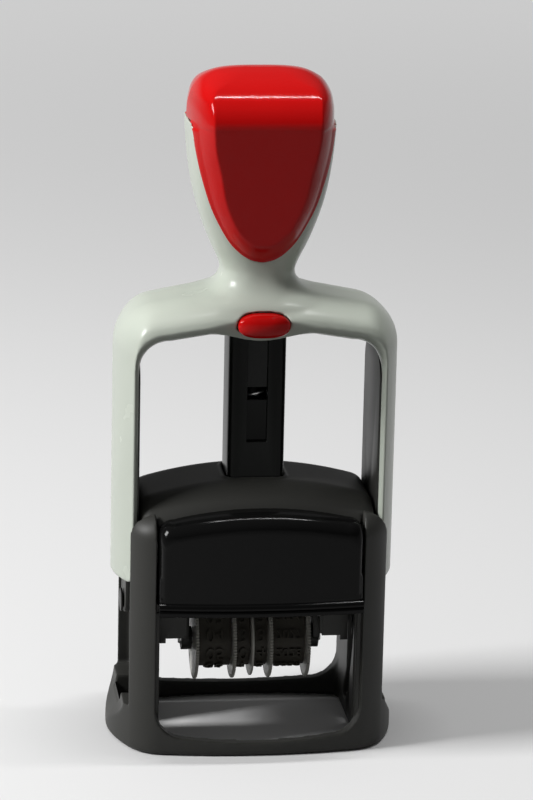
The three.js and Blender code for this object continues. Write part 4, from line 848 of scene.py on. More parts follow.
def barrel(half_width, half_depth, corner_x, corner_y, corner_cut, steps=14):
    """A plan outline with bowed front, back and ends, and its corners cut by curves."""
    end_limit = corner_y - corner_cut
    front_limit = corner_x - corner_cut

    def end(y):
        return half_width - (half_width - corner_x) * (y / corner_y) ** 2

    def front(x):
        return half_depth - (half_depth - corner_y) * (x / corner_x) ** 2

    quarter = [(end(end_limit * i / steps), end_limit * i / steps) for i in range(steps)]
    for i in range(steps + 1):
        t = i / steps
        x = (1 - t) ** 2 * end(end_limit) + 2 * t * (1 - t) * corner_x + t * t * front_limit
        y = (1 - t) ** 2 * end_limit + 2 * t * (1 - t) * corner_y + t * t * front(front_limit)
        quarter.append((x, y))
    quarter += [(front_limit * i / steps, front(front_limit * i / steps)) for i in range(steps - 1, 0, -1)]
    quarter.append((0, half_depth))
    right = [(x, -y) for x, y in reversed(quarter[1:])] + quarter
    return right + [(-x, y) for x, y in reversed(right[1:-1])]


def on_side(side, near, far):
    """The two ends along x of something that runs from near to far on the right, put on either side."""
    return (near, far) if side > 0 else (-far, -near)


def foot_window():
    """The front and rear windows, open upwards for the ink drawer. The sill sags a little in the middle."""
    low = window_sill + window_corner
    corner_x = window_half_width - window_corner
    right = []
    for i in range(8):
        x = corner_x * i / 8
        right.append((x, window_sill - sill_sag * (1 - (x / corner_x) ** 2)))
    right += arc(corner_x, low, window_corner, -math.pi / 2, 0, 12)
    return mirrored(right + [(window_half_width, post_top + overrun)])


def cam_groove():
    """The groove that turns the die: a strip round the path of its follower, in Y and Z."""
    reach = follower_radius + slide
    path = []
    for i in range(groove_steps + 1):
        turn = math.pi * i / groove_steps
        sunk = pin_z - travel * i / groove_steps
        path.append((-follower_arm * math.cos(turn), sunk - follower_arm * math.sin(turn)))
    one = []
    other = []
    for i, (y, z) in enumerate(path):
        y0, z0 = path[max(i - 1, 0)]
        y1, z1 = path[min(i + 1, groove_steps)]
        size = math.hypot(y1 - y0, z1 - z0)
        ny = -(z1 - z0) / size * reach
        nz = (y1 - y0) / size * reach
        one.append((y + ny, z + nz))
        other.append((y - ny, z - nz))
    return one + list(reversed(other))


def foot_ring(z, inset):
    """The foot's outline at a height, set in from its full size."""
    plan = barrel(
        foot_half_width - inset,
        foot_half_depth - inset,
        foot_corner_x - inset,
        foot_corner_y - inset,
        foot_corner_cut,
    )
    return [(x, y, z) for x, y in plan]


rings = [foot_ring(0, foot_edge)] + [foot_ring(z, 0) for z in foot_rows]
for i in range(15):
    turn = math.pi / 2 * i / 14
    rings.append(foot_ring(post_top - post_round * (1 - math.sin(turn)), post_round * (1 - math.cos(turn))))
foot = loft("foot_moulding", rings)
past_depth = foot_half_depth + overrun
room_depth = foot_half_depth - foot_bar
paper_room = barrel(window_half_width, room_depth, window_half_width, room_depth - paper_room_bow, foot_bar)
cutters = [prism("windows", foot_window(), -past_depth, past_depth, "y")]
cutters.append(prism("paper_room", paper_room, -overrun, window_sill + window_corner, "z"))
rails = []
for side in (-1, 1):
    leg_room = on_side(side, wall_outside, foot_half_width + overrun)
    depth = (-channel_half_depth, channel_half_depth)
    cutters.append(block("leg_channel", *leg_room, *depth, flare_top, post_top + overrun))
    scoop = []
    for i in range(17):
        share = i / 16
        rise = 0.5 + math.asin(2 * share - 1) / math.pi
        low = flare_bottom + (flare_top - flare_bottom) * rise
        half = channel_half_depth
        corner = min(scoop_round, (flare_top + overrun - low) * scoop_share)
        right = arc(half - corner, low + corner, corner, -math.pi / 2, 0, 10) + [(half, flare_top + overrun)]
        x = side * (foot_half_width - (foot_half_width - arm_pocket_out + overrun / 10) * share)
        scoop.append([(x, y, z) for y, z in mirrored(right)])
    scoop.insert(0, [(side * (foot_half_width + overrun), y, z) for _, y, z in scoop[0]])
    cutters.append(loft("scoop", scoop))
    pocket = on_side(side, wall_outside, arm_pocket_out)
    half = arm_half_depth + slide
    cutters.append(block("arm_pocket", *pocket, -half, half, -overrun, flare_top + overrun))
    through = on_side(side, window_half_width - overrun, wall_outside + overrun)
    cutters.append(block("over_wall", *through, *depth, side_wall_top, post_top + overrun))
    slot = pin_radius + slide
    pin_slot = arc(0, pin_z, slot, 0, math.pi, 12) + arc(0, pin_z - travel, slot, math.pi, 2 * math.pi, 12)
    cutters.append(prism("pin_slot", pin_slot, *through, "x"))
    groove = on_side(side, window_half_width - overrun, window_half_width + groove_depth)
    cutters.append(prism("cam_groove", cam_groove(), *groove, "x"))
    rail = on_side(side, window_half_width - rail_reach, window_half_width + seam)
    rail_top = tray_bottom - seam
    rails.append(block("rail", *rail, *depth, rail_top - rail_height, rail_top))
    for place in rib_places:
        ribs = on_side(side, window_half_width - rib_reach, window_half_width + seam)
        rails.append(block("rib", *ribs, place, place + rib_width, window_sill, rail_top - rail_height))
    shelf = on_side(side, screw_x - shelf_half, window_half_width + seam)
    for end in (-1, 1):
        places = sorted((end * (screw_y - shelf_half), end * (screw_y + shelf_half)))
        rails.append(block("shelf", *shelf, *places, side_wall_top - shelf_thickness, side_wall_top))
cut(foot, *cutters)
join(foot, *rails)
fused(foot, voxel=0.0004, rounds=3)
satin_black = moulded("satin_black_plastic", (0.032, 0.032, 0.029), 0.46, grain=3200, depth=0.00003)
finish_piece(foot, satin_black, "base", "satin_black", "base_frame")

# Roof: the crowned cover over the drawer, between the legs, with a soft collar where the column comes out.
# It is moulded in the same satin plastic as the foot, and four screws hold it to the foot's shelves.
roof_half_width = roof_high.x
roof_half_depth = roof_high.y
roof_bottom = roof_low.z
roof_crown = roof_high.z - 0.0019
roof_level = 0.0085
roof_fall_x = 0.0048
roof_fall_y = 0.0052
roof_curve = 1.6
roof_wall = 0.0022
roof_rim = 0.003
rim_drop = 0.6
collar_reach = 0.0014
collar_rise = 0.0009
collar_foot = 0.0005
collar_sink = 0.0003
boss_radius = 0.0026
hole_spare = 0.01
wide_limit = 0.05
high_limit = 0.1


def roof_height(x, y, half_x, half_y, top):
    """Height of the crowned top over x and y. It is rounded off at the rim."""
    sloping = max(abs(y) - roof_level, 0) / (half_y - roof_level)
    height = top - roof_fall_x * (x / half_x) ** 2 - roof_fall_y * sloping ** roof_curve
    for place, half in ((x, half_x), (y, half_y)):
        past = min(max(0.0, abs(place) - (half - roof_rim)) / roof_rim, 1.0)
        height -= rim_drop * roof_rim * (1 - math.sqrt(1 - past * past))
    return height


def crowned_block(name, half_x, half_y, low, top):
    """A block whose top is the crowned roof. It is woven as a grid over a flat grid."""
    count = 41
    spread = [math.sin(math.pi / 2 * (2 * i / (count - 1) - 1)) for i in range(count)]
    vertices = []
    for flat in (False, True):
        for v in spread:
            for u in spread:
                x = u * half_x
                y = v * half_y
                vertices.append((x, y, low if flat else roof_height(x, y, half_x, half_y, top)))
    below = count * count
    faces = []
    for j in range(count - 1):
        for i in range(count - 1):
            a = j * count + i
            faces.append((a, a + 1, a + count + 1, a + count))
            faces.append((below + a, below + a + count, below + a + count + 1, below + a + 1))
        for a, b in (
            (j, j + 1),
            ((count - 1) * count + j + 1, (count - 1) * count + j),
            ((j + 1) * count, j * count),
            (j * count + count - 1, (j + 1) * count + count - 1),
        ):
            faces.append((a, below + a, below + b, b))
    return mesh_object(name, vertices, faces)


roof = crowned_block("roof_moulding", roof_half_width, roof_half_depth, roof_bottom, roof_crown)
between_posts = window_half_width - seam
room_half_x = roof_half_width - roof_wall
room_half_y = roof_half_depth - roof_wall
room_crown = roof_crown - roof_wall
roof_room = crowned_block("roof_room", room_half_x, room_half_y, roof_bottom - overrun, room_crown)
inner_x = between_posts - roof_wall
keep(roof_room, block("room_limit", -inner_x, inner_x, -wide_limit, wide_limit, 0, high_limit))
channel = channel_half_depth - seam
limit = block("between_posts", -between_posts, between_posts, -wide_limit, wide_limit, 0, high_limit)
join(limit, block("between_legs", -wide_limit, wide_limit, -channel, channel, 0, high_limit))
keep(roof, limit)
collar = []
for i in range(9):
    turn = math.pi / 2 * i / 8
    grown = seam + collar_foot + collar_reach * (1 - math.sin(turn))
    rise = collar_rise * (1 - math.cos(turn)) - collar_sink
    corner = column_corner + grown
    ring = rounded(column_half_width + grown, column_half_depth + grown, corner, 10)
    roof_line = [roof_height(x, y, roof_half_width, roof_half_depth, roof_crown) for x, y in ring]
    collar.append([(x, y, z + rise) for (x, y), z in zip(ring, roof_line)])
base_ring = [(x, y, room_crown) for x, y, _ in collar[0]]
join(roof, loft("collar", [base_ring] + collar))
column_hole = rounded(column_half_width + seam, column_half_depth + seam, column_corner + seam, 10)
cut(roof, roof_room, prism("column_hole", column_hole, roof_bottom, roof_crown + hole_spare, "z"))
bosses = []
for side in (-1, 1):
    for end in (-1, 1):
        plan = circle(side * screw_x, end * screw_y, boss_radius, 20)
        bosses.append(prism("boss", plan, roof_bottom, roof_crown - roof_fall_y - roof_wall, "z"))
join(roof, *bosses)
fused(roof, voxel=0.00042, rounds=4)
finish_piece(roof, satin_black, "base", "satin_black", "top_cover")

# Guide column: a glossy black tube that the handle slides on, with a flange that is screwed under the roof,
# a groove for the lock button's stem and the notch that the stem rests in.
column_foot = column_low.z
column_top = column_high.z
flange_radius = column_high.x
flange_thickness = 0.0024
column_bore = 0.0046
stem_groove = 0.0027
stem_groove_depth = 0.002
notch_z = button_z - 0.0218
notch_half = 0.0017
column_plan = rounded(column_half_width, column_half_depth, column_corner, 10)
column = prism("column_moulding", column_plan, column_foot, column_top, "z")
column_floor = column_foot + flange_thickness
join(column, prism("flange", circle(0, 0, flange_radius, 64), column_foot, column_floor, "z"))
column_front = -column_half_depth
cutters = [prism("bore", circle(0, 0, column_bore, 40), column_floor, column_top + overrun, "z")]
groove_low = button_z - travel - stem_groove
groove_y = (column_front - overrun, column_front + stem_groove_depth)
cutters.append(block("stem_groove", -stem_groove, stem_groove, *groove_y, groove_low, column_top + overrun))
notch_y = (column_front - overrun, 0)
notch_edges = (notch_z - notch_half, notch_z + notch_half)
cutters.append(block("notch", -stem_groove, stem_groove, *notch_y, *notch_edges))
cut(column, *cutters)


def shaded(obj, angle):
    """Shades obj smoothly, apart from the edges that are sharper than an angle in degrees."""
    obj.data.shade_smooth()
    obj.data.set_sharp_from_angle(angle=math.radians(angle))
    return obj


def edged(obj, width, angle=30):
    """Breaks the sharp edges of obj and shades its round faces evenly."""
    shape = bmesh.new()
    shape.from_mesh(obj.data)
    bmesh.ops.dissolve_limit(shape, angle_limit=math.radians(1), verts=shape.verts, edges=shape.edges)
    shape.to_mesh(obj.data)
    shape.free()
    bevel = obj.modifiers.new("edges", "BEVEL")
    bevel.width = width
    bevel.segments = 2
    bevel.limit_method = "ANGLE"
    bevel.angle_limit = math.radians(angle)
    bevel.use_clamp_overlap = True
    return shaded(settle(obj), angle)


edged(column, width=0.0003)
gloss_black = moulded("gloss_black_plastic", (0.004, 0.004, 0.004), 0.12, depth=0.000004, shine=0.12)
column_black = moulded("column_black_plastic", (0.008, 0.009, 0.008), 0.22, depth=0.000008, shine=0.15)
finish_piece(column, column_black, "base", "gloss_black", "guide_column")

# Ink drawer: a tray for the pad with a bulged front that is pulled out forwards. It is moulded in glossy
# black plastic and slides on the rails of the side walls.
panel_half_width = tray_high.x
panel_front = -tray_low.y
panel_bow = 0.0019
panel_back = roof_half_depth + seam
panel_bottom = tray_bottom + 0.0011
panel_top = tray_high.z
panel_round = 0.005
panel_corner = 0.004
panel_wall = 0.0024
panel_set_back = 0.0011
panel_taper = 0.35
panel_lip_side = 0.0005
panel_lip_back = 0.0012
panel_lip_low = 0.0004
# how far each point of the two ledges lies behind the panel's foremost line and over the ledges' place
ledge_profile = [
    (0.0021, -0.0012),
    (0.0021, 0.0004),
    (0.0009, 0.0003),
    (0.0003, -0.0001),
    (0, -0.0008),
    (0, -0.0013),
    (0.0009, -0.0015),
    (0.0003, -0.0017),
    (0.0001, -0.0022),
    (0.0002, -0.0031),
    (0.0007, -0.0034),
    (0.0021, -0.0034),
]
tray_front = panel_front - 0.0038
ledge_top = tray_low.z + 0.0035
tray_back = tray_high.y
tray_top = tray_bottom + 0.0089
tray_half_width = window_half_width - slide
tray_wall = 0.0014
tray_floor = 0.0009
pad_half_width = 0.0239
pad_half_depth = 0.0136


def panel(name, end, wall):
    """The bulged panel on the front, or the alike one on the rear, smaller all round by wall."""
    half_width = panel_half_width - wall
    front = panel_front - panel_set_back - wall
    back = panel_back - (overrun if wall else 0)
    turn_radius = panel_round - wall / 2

    def ring(inset, depth, fill=1.0):
        low = panel_bottom + wall
        high = panel_top - wall - inset
        wide = half_width - panel_taper * inset
        corner = panel_corner - wall / 2
        corner_x = wide - corner

        def arched(x):
            return high - roof_fall_x * (x / roof_half_width) ** 2

        right = [(corner_x * i / 16, low) for i in range(16)] + [(wide, low)]
        right += arc(corner_x, arched(corner_x) - corner, corner, 0, math.pi / 2, 12)
        right += [(corner_x * i / 16, arched(corner_x * i / 16)) for i in range(15, -1, -1)]
        outline = right + [(-x, z) for x, z in reversed(right[1:-1])]
        middle = (low + high) / 2
        outline = [(x * fill, middle + (z - middle) * fill) for x, z in outline]
        bowed = [(x, depth * (1 - panel_bow / front * (x / half_width) ** 2), z) for x, z in outline]
        return [(x, end * max(y, back), z) for x, y, z in bowed]

    rings = [ring(0, back)]
    for i in range(15):
        turn = math.pi / 2 * i / 14
        rings.append(ring(turn_radius * (1 - math.cos(turn)), front - turn_radius * (1 - math.sin(turn))))
    rings += [ring(turn_radius, front, 1 - i / 10) for i in range(1, 10)]
    rings.append(ring(turn_radius, front, least_fill))
    return loft(name, rings)


def panel_lip(end):
    """The lip under a panel, behind its ledges."""
    inner = panel_half_width - panel_lip_side
    places = sorted((end * (panel_front - panel_bow - panel_lip_back), end * panel_back))
    return block("lip", -inner, inner, *places, tray_low.z + panel_lip_low, panel_bottom + panel_wall)


def ledges(name, end):
    """Two ledges along the lower edge of a panel. Their sloping tops catch the light."""
    rings = []
    for i in range(41):
        x = panel_half_width * (i / 20 - 1)
        front = panel_front - panel_bow * (i / 20 - 1) ** 2
        rings.append([(x, end * (front - inset), ledge_top + z) for inset, z in ledge_profile])
    return edged(loft(name, rings), width=0.0001, angle=12)


drawer = panel("drawer_moulding", -1, 0)
cut(drawer, panel("panel_room", -1, panel_wall))
tray_plan = (-tray_half_width, tray_half_width, -tray_front, tray_back)
join(drawer, panel_lip(-1), block("tray", *tray_plan, tray_bottom, tray_top))
inside = tray_half_width - tray_wall
floor_top = tray_bottom + tray_floor
pad_x = pad_half_width + seam
pad_y = pad_half_depth + seam
room_plan = (-inside, inside, -tray_front + tray_wall, tray_back - tray_wall)
cut(
    drawer,
    block("tray_room", *room_plan, floor_top, tray_top + overrun),
    block("pad_opening", -pad_x, pad_x, -pad_y, pad_y, tray_bottom - overrun, floor_top + overrun),
)
fused(drawer, voxel=0.00036, rounds=3)
finish_piece(drawer, gloss_black, "drawer", "gloss_black", "pad_cassette")
finish_piece(ledges("drawer_ledges", -1), gloss_black, "drawer", "gloss_black")

# Rear cover: a glossy black moulding that closes the housing behind. It is alike to the drawer's front and
# is fixed to the foot frame.
rear = panel("rear_moulding", 1, 0)
cut(rear, panel("rear_room", 1, panel_wall))
join(rear, panel_lip(1))
fused(rear, voxel=0.0004, rounds=3)
finish_piece(rear, gloss_black, "base", "gloss_black", "rear_cover")
finish_piece(ledges("rear_ledges", 1), gloss_black, "base", "gloss_black")

# Ink pad: soaked felt that hangs through the opening in the tray's floor. Its edges are soft and its face
# is fibrous and nearly black with ink.
pad_low, pad_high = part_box("ink_pad")
pad_shoulder = pad_high.z - 0.004
shoulder_x = pad_half_width + 0.0015
pad_plan = (-pad_half_width, pad_half_width, -pad_half_depth, pad_half_depth)
pad = block("felt_pad", *pad_plan, pad_low.z, pad_shoulder + seam)
join(pad, block("pad_top", -shoulder_x, shoulder_x, -pad_high.y, pad_high.y, pad_shoulder, pad_high.z))
fused(pad, voxel=0.0005, rounds=6)
felt = bpy.data.materials.new("ink_felt")
felt.use_nodes = True
tree = felt.node_tree
shader = tree.nodes["Principled BSDF"]
shader.inputs["Roughness"].default_value = 0.95
shader.inputs["Sheen Weight"].default_value = 0.15
place = tree.nodes.new("ShaderNodeTexCoord")
fibre = tree.nodes.new("ShaderNodeTexNoise")
fibre.inputs["Scale"].default_value = 1400
fibre.inputs["Detail"].default_value = 6
fibre.inputs["Distortion"].default_value = 1.5
ink = tree.nodes.new("ShaderNodeValToRGB")
ink.color_ramp.elements[0].color = (0.004, 0.004, 0.009, 1)
ink.color_ramp.elements[1].color = (0.02, 0.02, 0.032, 1)
fuzz = tree.nodes.new("ShaderNodeBump")
fuzz.inputs["Strength"].default_value = 0.8
fuzz.inputs["Distance"].default_value = 0.0002
tree.links.new(place.outputs["Object"], fibre.inputs["Vector"])
tree.links.new(fibre.outputs["Fac"], ink.inputs["Fac"])
tree.links.new(ink.outputs["Color"], shader.inputs["Base Color"])
tree.links.new(fibre.outputs["Fac"], fuzz.inputs["Height"])
tree.links.new(fuzz.outputs["Normal"], shader.inputs["Normal"])
finish_piece(pad, felt, "drawer", "pad_felt", "ink_pad")


# Press arms: two bars inside the legs, each with a thin liner, that push the die down. They are moulded in
# satin black plastic, and a screw holds each one in its leg.
same_point = 0.000001


def copy_of(node, name):
    """A piece with the shape of a CAD node."""
    obj = bpy.data.objects.new(name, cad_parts[node].data.copy())
    scene.collection.objects.link(obj)
    obj.data.transform(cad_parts[node].matrix_world)
    shape = bmesh.new()
    shape.from_mesh(obj.data)
    bmesh.ops.remove_doubles(shape, verts=shape.verts, dist=same_point)
    shape.to_mesh(obj.data)
    shape.free()
    return obj


for name in ("left", "right"):
    arm = edged(copy_of("press_arm_" + name, "arm_" + name), width=0.0004)
    finish_piece(arm, satin_black, "handle", "satin_black", "press_arm_" + name)

# Die: the satin black block that carries the text plate and the date bands and turns over on the pins. A bar
# across it, the bridge, holds the bands' printing face level.
bearing_round = 0.0032
lip_x = (0.0182, 0.0192)
lip_y = (-0.009, -0.0076)
lip_z = (0.0285, 0.035)
waste_reach = 0.008
waste_rise = 0.0035
waste_fall = 0.006
waste_half = 0.025
axle_low, axle_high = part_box("band_axle")
axle_z = (axle_high.z + axle_low.z) / 2
die = copy_of("die_carrier", "die_moulding")
for end in (-1, 1):
    waste = [(end * bearing_round, axle_z), (end * waste_reach, axle_z + waste_rise)]
    waste += [(end * waste_reach, axle_z - waste_fall), (0, axle_z - waste_fall)]
    waste += arc(0, axle_z, bearing_round, -math.pi / 2, -math.pi / 2 + end * math.pi / 2, 10)
    cut(die, prism("waste", waste, -waste_half, waste_half, "x"))
join(die, *[block("lip", *on_side(side, *lip_x), *lip_y, *lip_z) for side in (-1, 1)])
edged(die, width=0.00025)
finish_piece(die, satin_black, "die", "satin_black", "die_carrier")
bridge = edged(copy_of("band_bridge", "bridge_bar"), width=0.0002)
finish_piece(bridge, satin_black, "die", "satin_black", "band_bridge")

# Plunger: the black plastic peg that presses the return spring in the column. A screw under the cap holds
# it to the neck.
plunger = edged(copy_of("spring_plunger", "plunger_peg"), width=0.0003)
finish_piece(plunger, satin_black, "handle", "satin_black", "spring_plunger")

# Screws: zinc-plated steel, each with a cross in its head. They hold the roof, the column, the arms and the
# plunger.


def metal(name, colour, roughness):
    """Steel with fine scratches along the object."""
    material = moulded(name, colour, roughness, grain=5200, depth=0.000006)
    material.node_tree.nodes["Principled BSDF"].inputs["Metallic"].default_value = 1
    return material


steel = metal("plated_steel", (0.56, 0.56, 0.55), 0.3)
cross_width = 0.0007
cross_depth = 0.0008
wide_cross = 0.0015
narrow_cross = 0.0011
plunger_cross = 0.002


def screw(node, body, axis, end, cross_reach):
    """A screw like the CAD's, with a cross cut into the head at its low or high end along an axis."""
    low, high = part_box(node)
    made = copy_of(node, node.replace("screw", "bolt"))
    middle = (low + high) / 2
    index = "xyz".index(axis)
    face = high[index] if end > 0 else low[index]
    slots = []
    for wide in range(3):
        if wide != index:
            half = [cross_width / 2] * 3
            half[wide] = cross_reach
            half[index] = cross_depth
            centre = list(middle)
            centre[index] = face
            a = [c - h for c, h in zip(centre, half)]
            b = [c + h for c, h in zip(centre, half)]
            slots.append(block("slot", a[0], b[0], a[1], b[1], a[2], b[2]))
    cut(made, *slots)
    edged(made, width=0.00015)
    finish_piece(made, steel, body, "steel", node)


for place in ("front_left", "rear_left", "front_right", "rear_right"):
    screw("cover_screw_" + place, "base", "z", -1, wide_cross)
for name in ("left", "right"):
    screw("column_screw_" + name, "base", "z", -1, narrow_cross)
    screw("arm_screw_" + name, "handle", "x", -1 if name == "right" else 1, wide_cross)
screw("plunger_screw", "handle", "z", 1, plunger_cross)

# Pins and axle: turned steel rods. The pins are blackened and pressed into the arms, and the axle is held in
# the die's cheeks.
black_steel = metal("blackened_steel", (0.035, 0.035, 0.034), 0.4)
for name in ("left", "right"):
    pin = edged(copy_of("pivot_pin_" + name, "pin_" + name), width=0.0002)
    finish_piece(pin, black_steel, "handle", "steel", "pivot_pin_" + name)
axle_radius = (axle_high.z - axle_low.z) / 2
axle_half = axle_high.x
axle_full = axle_half - 0.0004
axle_end = 0.8
rings = []
for x, share in ((-axle_half, axle_end), (-axle_full, 1), (axle_full, 1), (axle_half, axle_end)):
    rings.append([(x, y, z) for y, z in circle(0, axle_z, axle_radius * share, 32)])
axle = shaded(loft("axle_rod", rings), 30)
finish_piece(axle, steel, "die", "steel", "band_axle")

# Springs: the return spring in the column and the small one behind the lock button. Both are coiled from
# round steel wire.


def coil(name, radius, wire, curls, low, high, place):
    """A coil of round wire from low to high, with its points put in their place."""
    steps = 24
    sides = 10
    first = low + wire / 2
    rise = high - low - wire
    rings = []
    for i in range(steps * curls + 1):
        turn = 2 * math.pi * i / steps
        ring = []
        for k in range(sides):
            around = 2 * math.pi * k / sides
            out = radius + wire / 2 * math.cos(around)
            along = first + rise * i / (steps * curls) + wire / 2 * math.sin(around)
            ring.append(place(out * math.cos(turn), out * math.sin(turn), along))
        rings.append(ring)
    made = loft(name, rings)
    made.data.shade_smooth()
    return made


spring_low, spring_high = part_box("return_spring")
spring_wire = 0.0009
spring_curls = 12
spring_radius = spring_high.x - spring_wire / 2
spring = coil(
    "return_coil",
    spring_radius,
    spring_wire,
    spring_curls,
    spring_low.z,
    spring_high.z,
    lambda x, y, along: (x, y, along),
)
finish_piece(spring, steel, "base", "steel", "return_spring")
lock_low, lock_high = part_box("button_spring")
lock_wire = 0.0005
lock_curls = 4
lock_radius = lock_high.x - lock_wire / 2
lock_spring = coil(
    "button_coil",
    lock_radius,
    lock_wire,
    lock_curls,
    -lock_high.y,
    -lock_low.y,
    lambda x, y, along: (x, -along, y + button_z),
)
finish_piece(lock_spring, steel, "handle", "steel", "button_spring")

# Text plate: black-brown rubber with a raised frame and rules above and below the window for the date. It is
# stuck on the die's printing side.
rubber = moulded("rubber", (0.040, 0.036, 0.028), 0.6, grain=3800, depth=0.00005)
plate_low, plate_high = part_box("text_plate")
plate_relief = 0.0006
plate_face = plate_high.z - plate_relief
date_half_width = 0.015
date_half_depth = 0.0045
rule = 0.0006
rule_gap = 0.0012
rule_step = 0.0013
rule_half = 0.017
rule_shrink = 0.003
plate_corner = 0.001
frame_inset = 0.0008
frame_step = 0.0014
frame_corner = 0.0008
frame_hole_corner = 0.0005
plate = prism("plate_sheet", rounded(plate_high.x, plate_high.y, plate_corner), plate_low.z, plate_face, "z")
reliefs = []
for inset in (0.0, frame_step):
    outer_x = plate_high.x - frame_inset - inset
    outer_y = plate_high.y - frame_inset - inset
    ring = prism("frame", rounded(outer_x, outer_y, frame_corner), plate_face - seam, plate_high.z, "z")
    hole = rounded(outer_x - rule, outer_y - rule, frame_hole_corner)
    cut(ring, prism("hole", hole, plate_low.z, plate_high.z + overrun, "z"))
    reliefs.append(ring)
for end in (-1, 1):
    for line in range(3):
        y = end * (date_half_depth + rule_gap + rule_step * line)
        half = rule_half - rule_shrink * line
        plan = (-half, half, y - rule / 2, y + rule / 2)
        reliefs.append(block("rule", *plan, plate_face - seam, plate_high.z))
join(plate, *reliefs)
cut(plate, block("date", -date_half_width, date_half_width, -date_half_depth, date_half_depth, 0, high_limit))
edged(plate, width=0.00008)
finish_piece(plate, rubber, "die", "rubber_grey", "text_plate")

# Date wheels: discs with toothed rims that a fingertip turns, each on a drum inside its band. They are
# moulded in pale grey plastic and turn on the axle, with a thin plain disc between the middle two.
wheel_grey = moulded("wheel_grey_plastic", (0.64, 0.63, 0.58), 0.4, grain=3600, depth=0.00002)
wheel_radius = 0.0112
wheel_teeth = 84
tooth_depth = 0.0009
# share of a tooth's pitch, and whether the rim is cut away there
tooth_form = ((0, 0), (0.42, 0), (0.58, 1), (0.84, 1))
rim_thickness = 0.00085
rim_chamfer = 0.00018
drum_radius = 0.0069
separator_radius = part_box("wheel_separator")[1].y
separator_half = 0.0003
separator_flat = 0.00018
separator_chamfer = 0.00012
narrow_start = 0.00065
narrow_end = 0.0054
wide_start = 0.00575
wide_end = 0.01565
hole_radius = axle_radius + seam


def disc(x, radius, teeth=0):
    """A round or toothed ring at x about the axle."""
    ring = []
    if not teeth:
        return [(x, y, z) for y, z in circle(0, axle_z, radius, 96)]
    for i in range(teeth):
        for share, deep in tooth_form:
            turn = 2 * math.pi * (i + share) / teeth
            reach = radius - tooth_depth * deep
            ring.append((x, reach * math.cos(turn), axle_z + reach * math.sin(turn)))
    return ring


def wheel(name, side, start, end, node, body):
    """A wheel with its toothed rim at the outer end of its drum."""
    rim = end - rim_thickness
    rings = []
    for x, inset in ((rim, rim_chamfer), (rim + rim_chamfer, 0), (end - rim_chamfer, 0), (end, rim_chamfer)):
        rings.append(disc(side * x, wheel_radius - inset, wheel_teeth))
    made = loft(name, rings)
    join(made, loft("drum", [disc(side * start, drum_radius), disc(side * end, drum_radius)]))
    ends = (side * (start - overrun), side * (end + overrun))
    cut(made, loft("hole", [disc(x, hole_radius) for x in ends]))
    finish_piece(shaded(made, 20), wheel_grey, body, "wheel_grey", node)


wheel("month_disc", -1, wide_start, wide_end, "month_wheel", "month")
wheel("tens_disc", -1, narrow_start, narrow_end, "tens_wheel", "tens")
wheel("units_disc", 1, narrow_start, narrow_end, "units_wheel", "units")
wheel("year_disc", 1, wide_start, wide_end, "year_wheel", "year")
rings = [disc(-separator_half, separator_radius - separator_chamfer)]
rings += [disc(x, separator_radius) for x in (-separator_flat, separator_flat)]
rings.append(disc(separator_half, separator_radius - separator_chamfer))
separator = loft("separator_disc", rings)
cut(separator, loft("hole", [disc(-overrun, hole_radius), disc(overrun, hole_radius)]))
finish_piece(shaded(separator, 20), wheel_grey, "die", "wheel_grey", "wheel_separator")

# Date bands: rubber loops over the bridge and round the drums, with raised months, digits and years. Each one
# is stretched over its wheel's drum.
band_thickness = 0.0012
band_relief = 0.0007
bridge_half = 0.0022
band_gap = 0.00035
figure_size = 0.0052
year_size = 0.0036
print_z = plate_high.z


def band_loop(grown):
    """The band's outline in Y and Z, grown from its inner face."""
    radius = drum_radius + seam + grown
    half_top = bridge_half + grown
    top = print_z - band_thickness + grown
    away = math.hypot(half_top, top - axle_z)
    turn = math.atan2(top - axle_z, half_top) - math.acos(radius / away)
    points = [(half_top, top), (-half_top, top)]
    points += arc(0, axle_z, radius, math.pi - turn, 2 * math.pi + turn, 60)
    return points


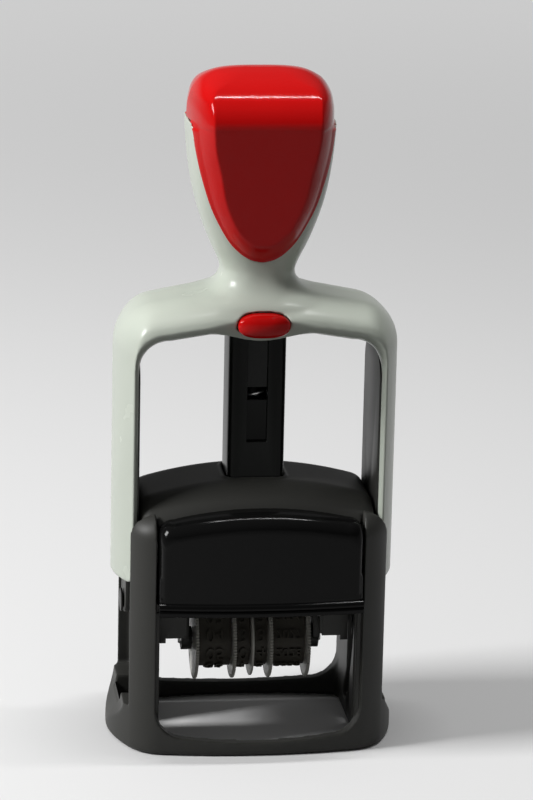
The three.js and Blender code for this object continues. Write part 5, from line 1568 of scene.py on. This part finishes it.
class Loop:
    """A closed path in Y and Z with the places along it."""

    def __init__(self, points):
        self.points = points
        self.ends = [0.0]
        for i, (y, z) in enumerate(points):
            y1, z1 = points[(i + 1) % len(points)]
            self.ends.append(self.ends[-1] + math.hypot(y1 - y, z1 - z))
        self.length = self.ends[-1]

    def at(self, along, out):
        """The point that far along the path and that far outside it."""
        along %= self.length
        i = max(k for k in range(len(self.points)) if self.ends[k] <= along)
        y0, z0 = self.points[i]
        y1, z1 = self.points[(i + 1) % len(self.points)]
        size = self.ends[i + 1] - self.ends[i]
        t = (along - self.ends[i]) / size
        ny = (z1 - z0) / size
        nz = -(y1 - y0) / size
        return y0 + (y1 - y0) * t + ny * out, z0 + (z1 - z0) * t + nz * out


def figures(text, size):
    """The flat characters of a text as one mesh, raised by the band's relief."""
    curve = bpy.data.curves.new("figures", "FONT")
    curve.body = text
    curve.size = size
    curve.extrude = band_relief / 2
    curve.resolution_u = 4
    curve.align_x = "CENTER"
    curve.align_y = "CENTER"
    obj = bpy.data.objects.new("figures", curve)
    scene.collection.objects.link(obj)
    graph = bpy.context.evaluated_depsgraph_get()
    mesh = bpy.data.meshes.new_from_object(obj.evaluated_get(graph))
    bpy.data.objects.remove(obj)
    return mesh


def band(name, side, start, end, texts, size, node):
    """A band with its texts set evenly round it, the first one on the printing face."""
    sunk = band_thickness - band_relief
    outside = Loop(band_loop(sunk))
    outer = prism(name, outside.points, *on_side(side, start, end), "x")
    cut(outer, prism("inside", band_loop(0), *on_side(side, start - overrun, end + overrun), "x"))
    shape = bmesh.new()
    shape.from_mesh(outer.data)
    middle = side * (start + end) / 2
    first = bridge_half + sunk
    for i, text in enumerate(texts):
        mesh = figures(text, size)
        centre = first + outside.length * i / len(texts)
        for vertex in mesh.vertices:
            u, v, w = vertex.co
            y, z = outside.at(centre + v, w + band_relief / 2)
            vertex.co = (middle + u, y, z)
        shape.from_mesh(mesh)
    shape.to_mesh(outer.data)
    shape.free()
    finish_piece(shaded(outer, 28), rubber, "die", "rubber_grey", node)


narrow_band_end = narrow_end - rim_thickness - band_gap
wide_band_end = wide_end - rim_thickness - band_gap
months = ["%02d" % month for month in range(1, 13)]
tens = ["0", "1", "2", "3"] * 3
units = [str(unit % 10) for unit in range(12)]
years = [str(year) for year in range(2024, 2036)]
band("month_loop", -1, wide_start, wide_band_end, months, figure_size, "month_band")
band("tens_loop", -1, narrow_start, narrow_band_end, tens, figure_size, "tens_band")
band("units_loop", 1, narrow_start, narrow_band_end, units, figure_size, "units_band")
band("year_loop", 1, wide_start, wide_band_end, years, year_size, "year_band")
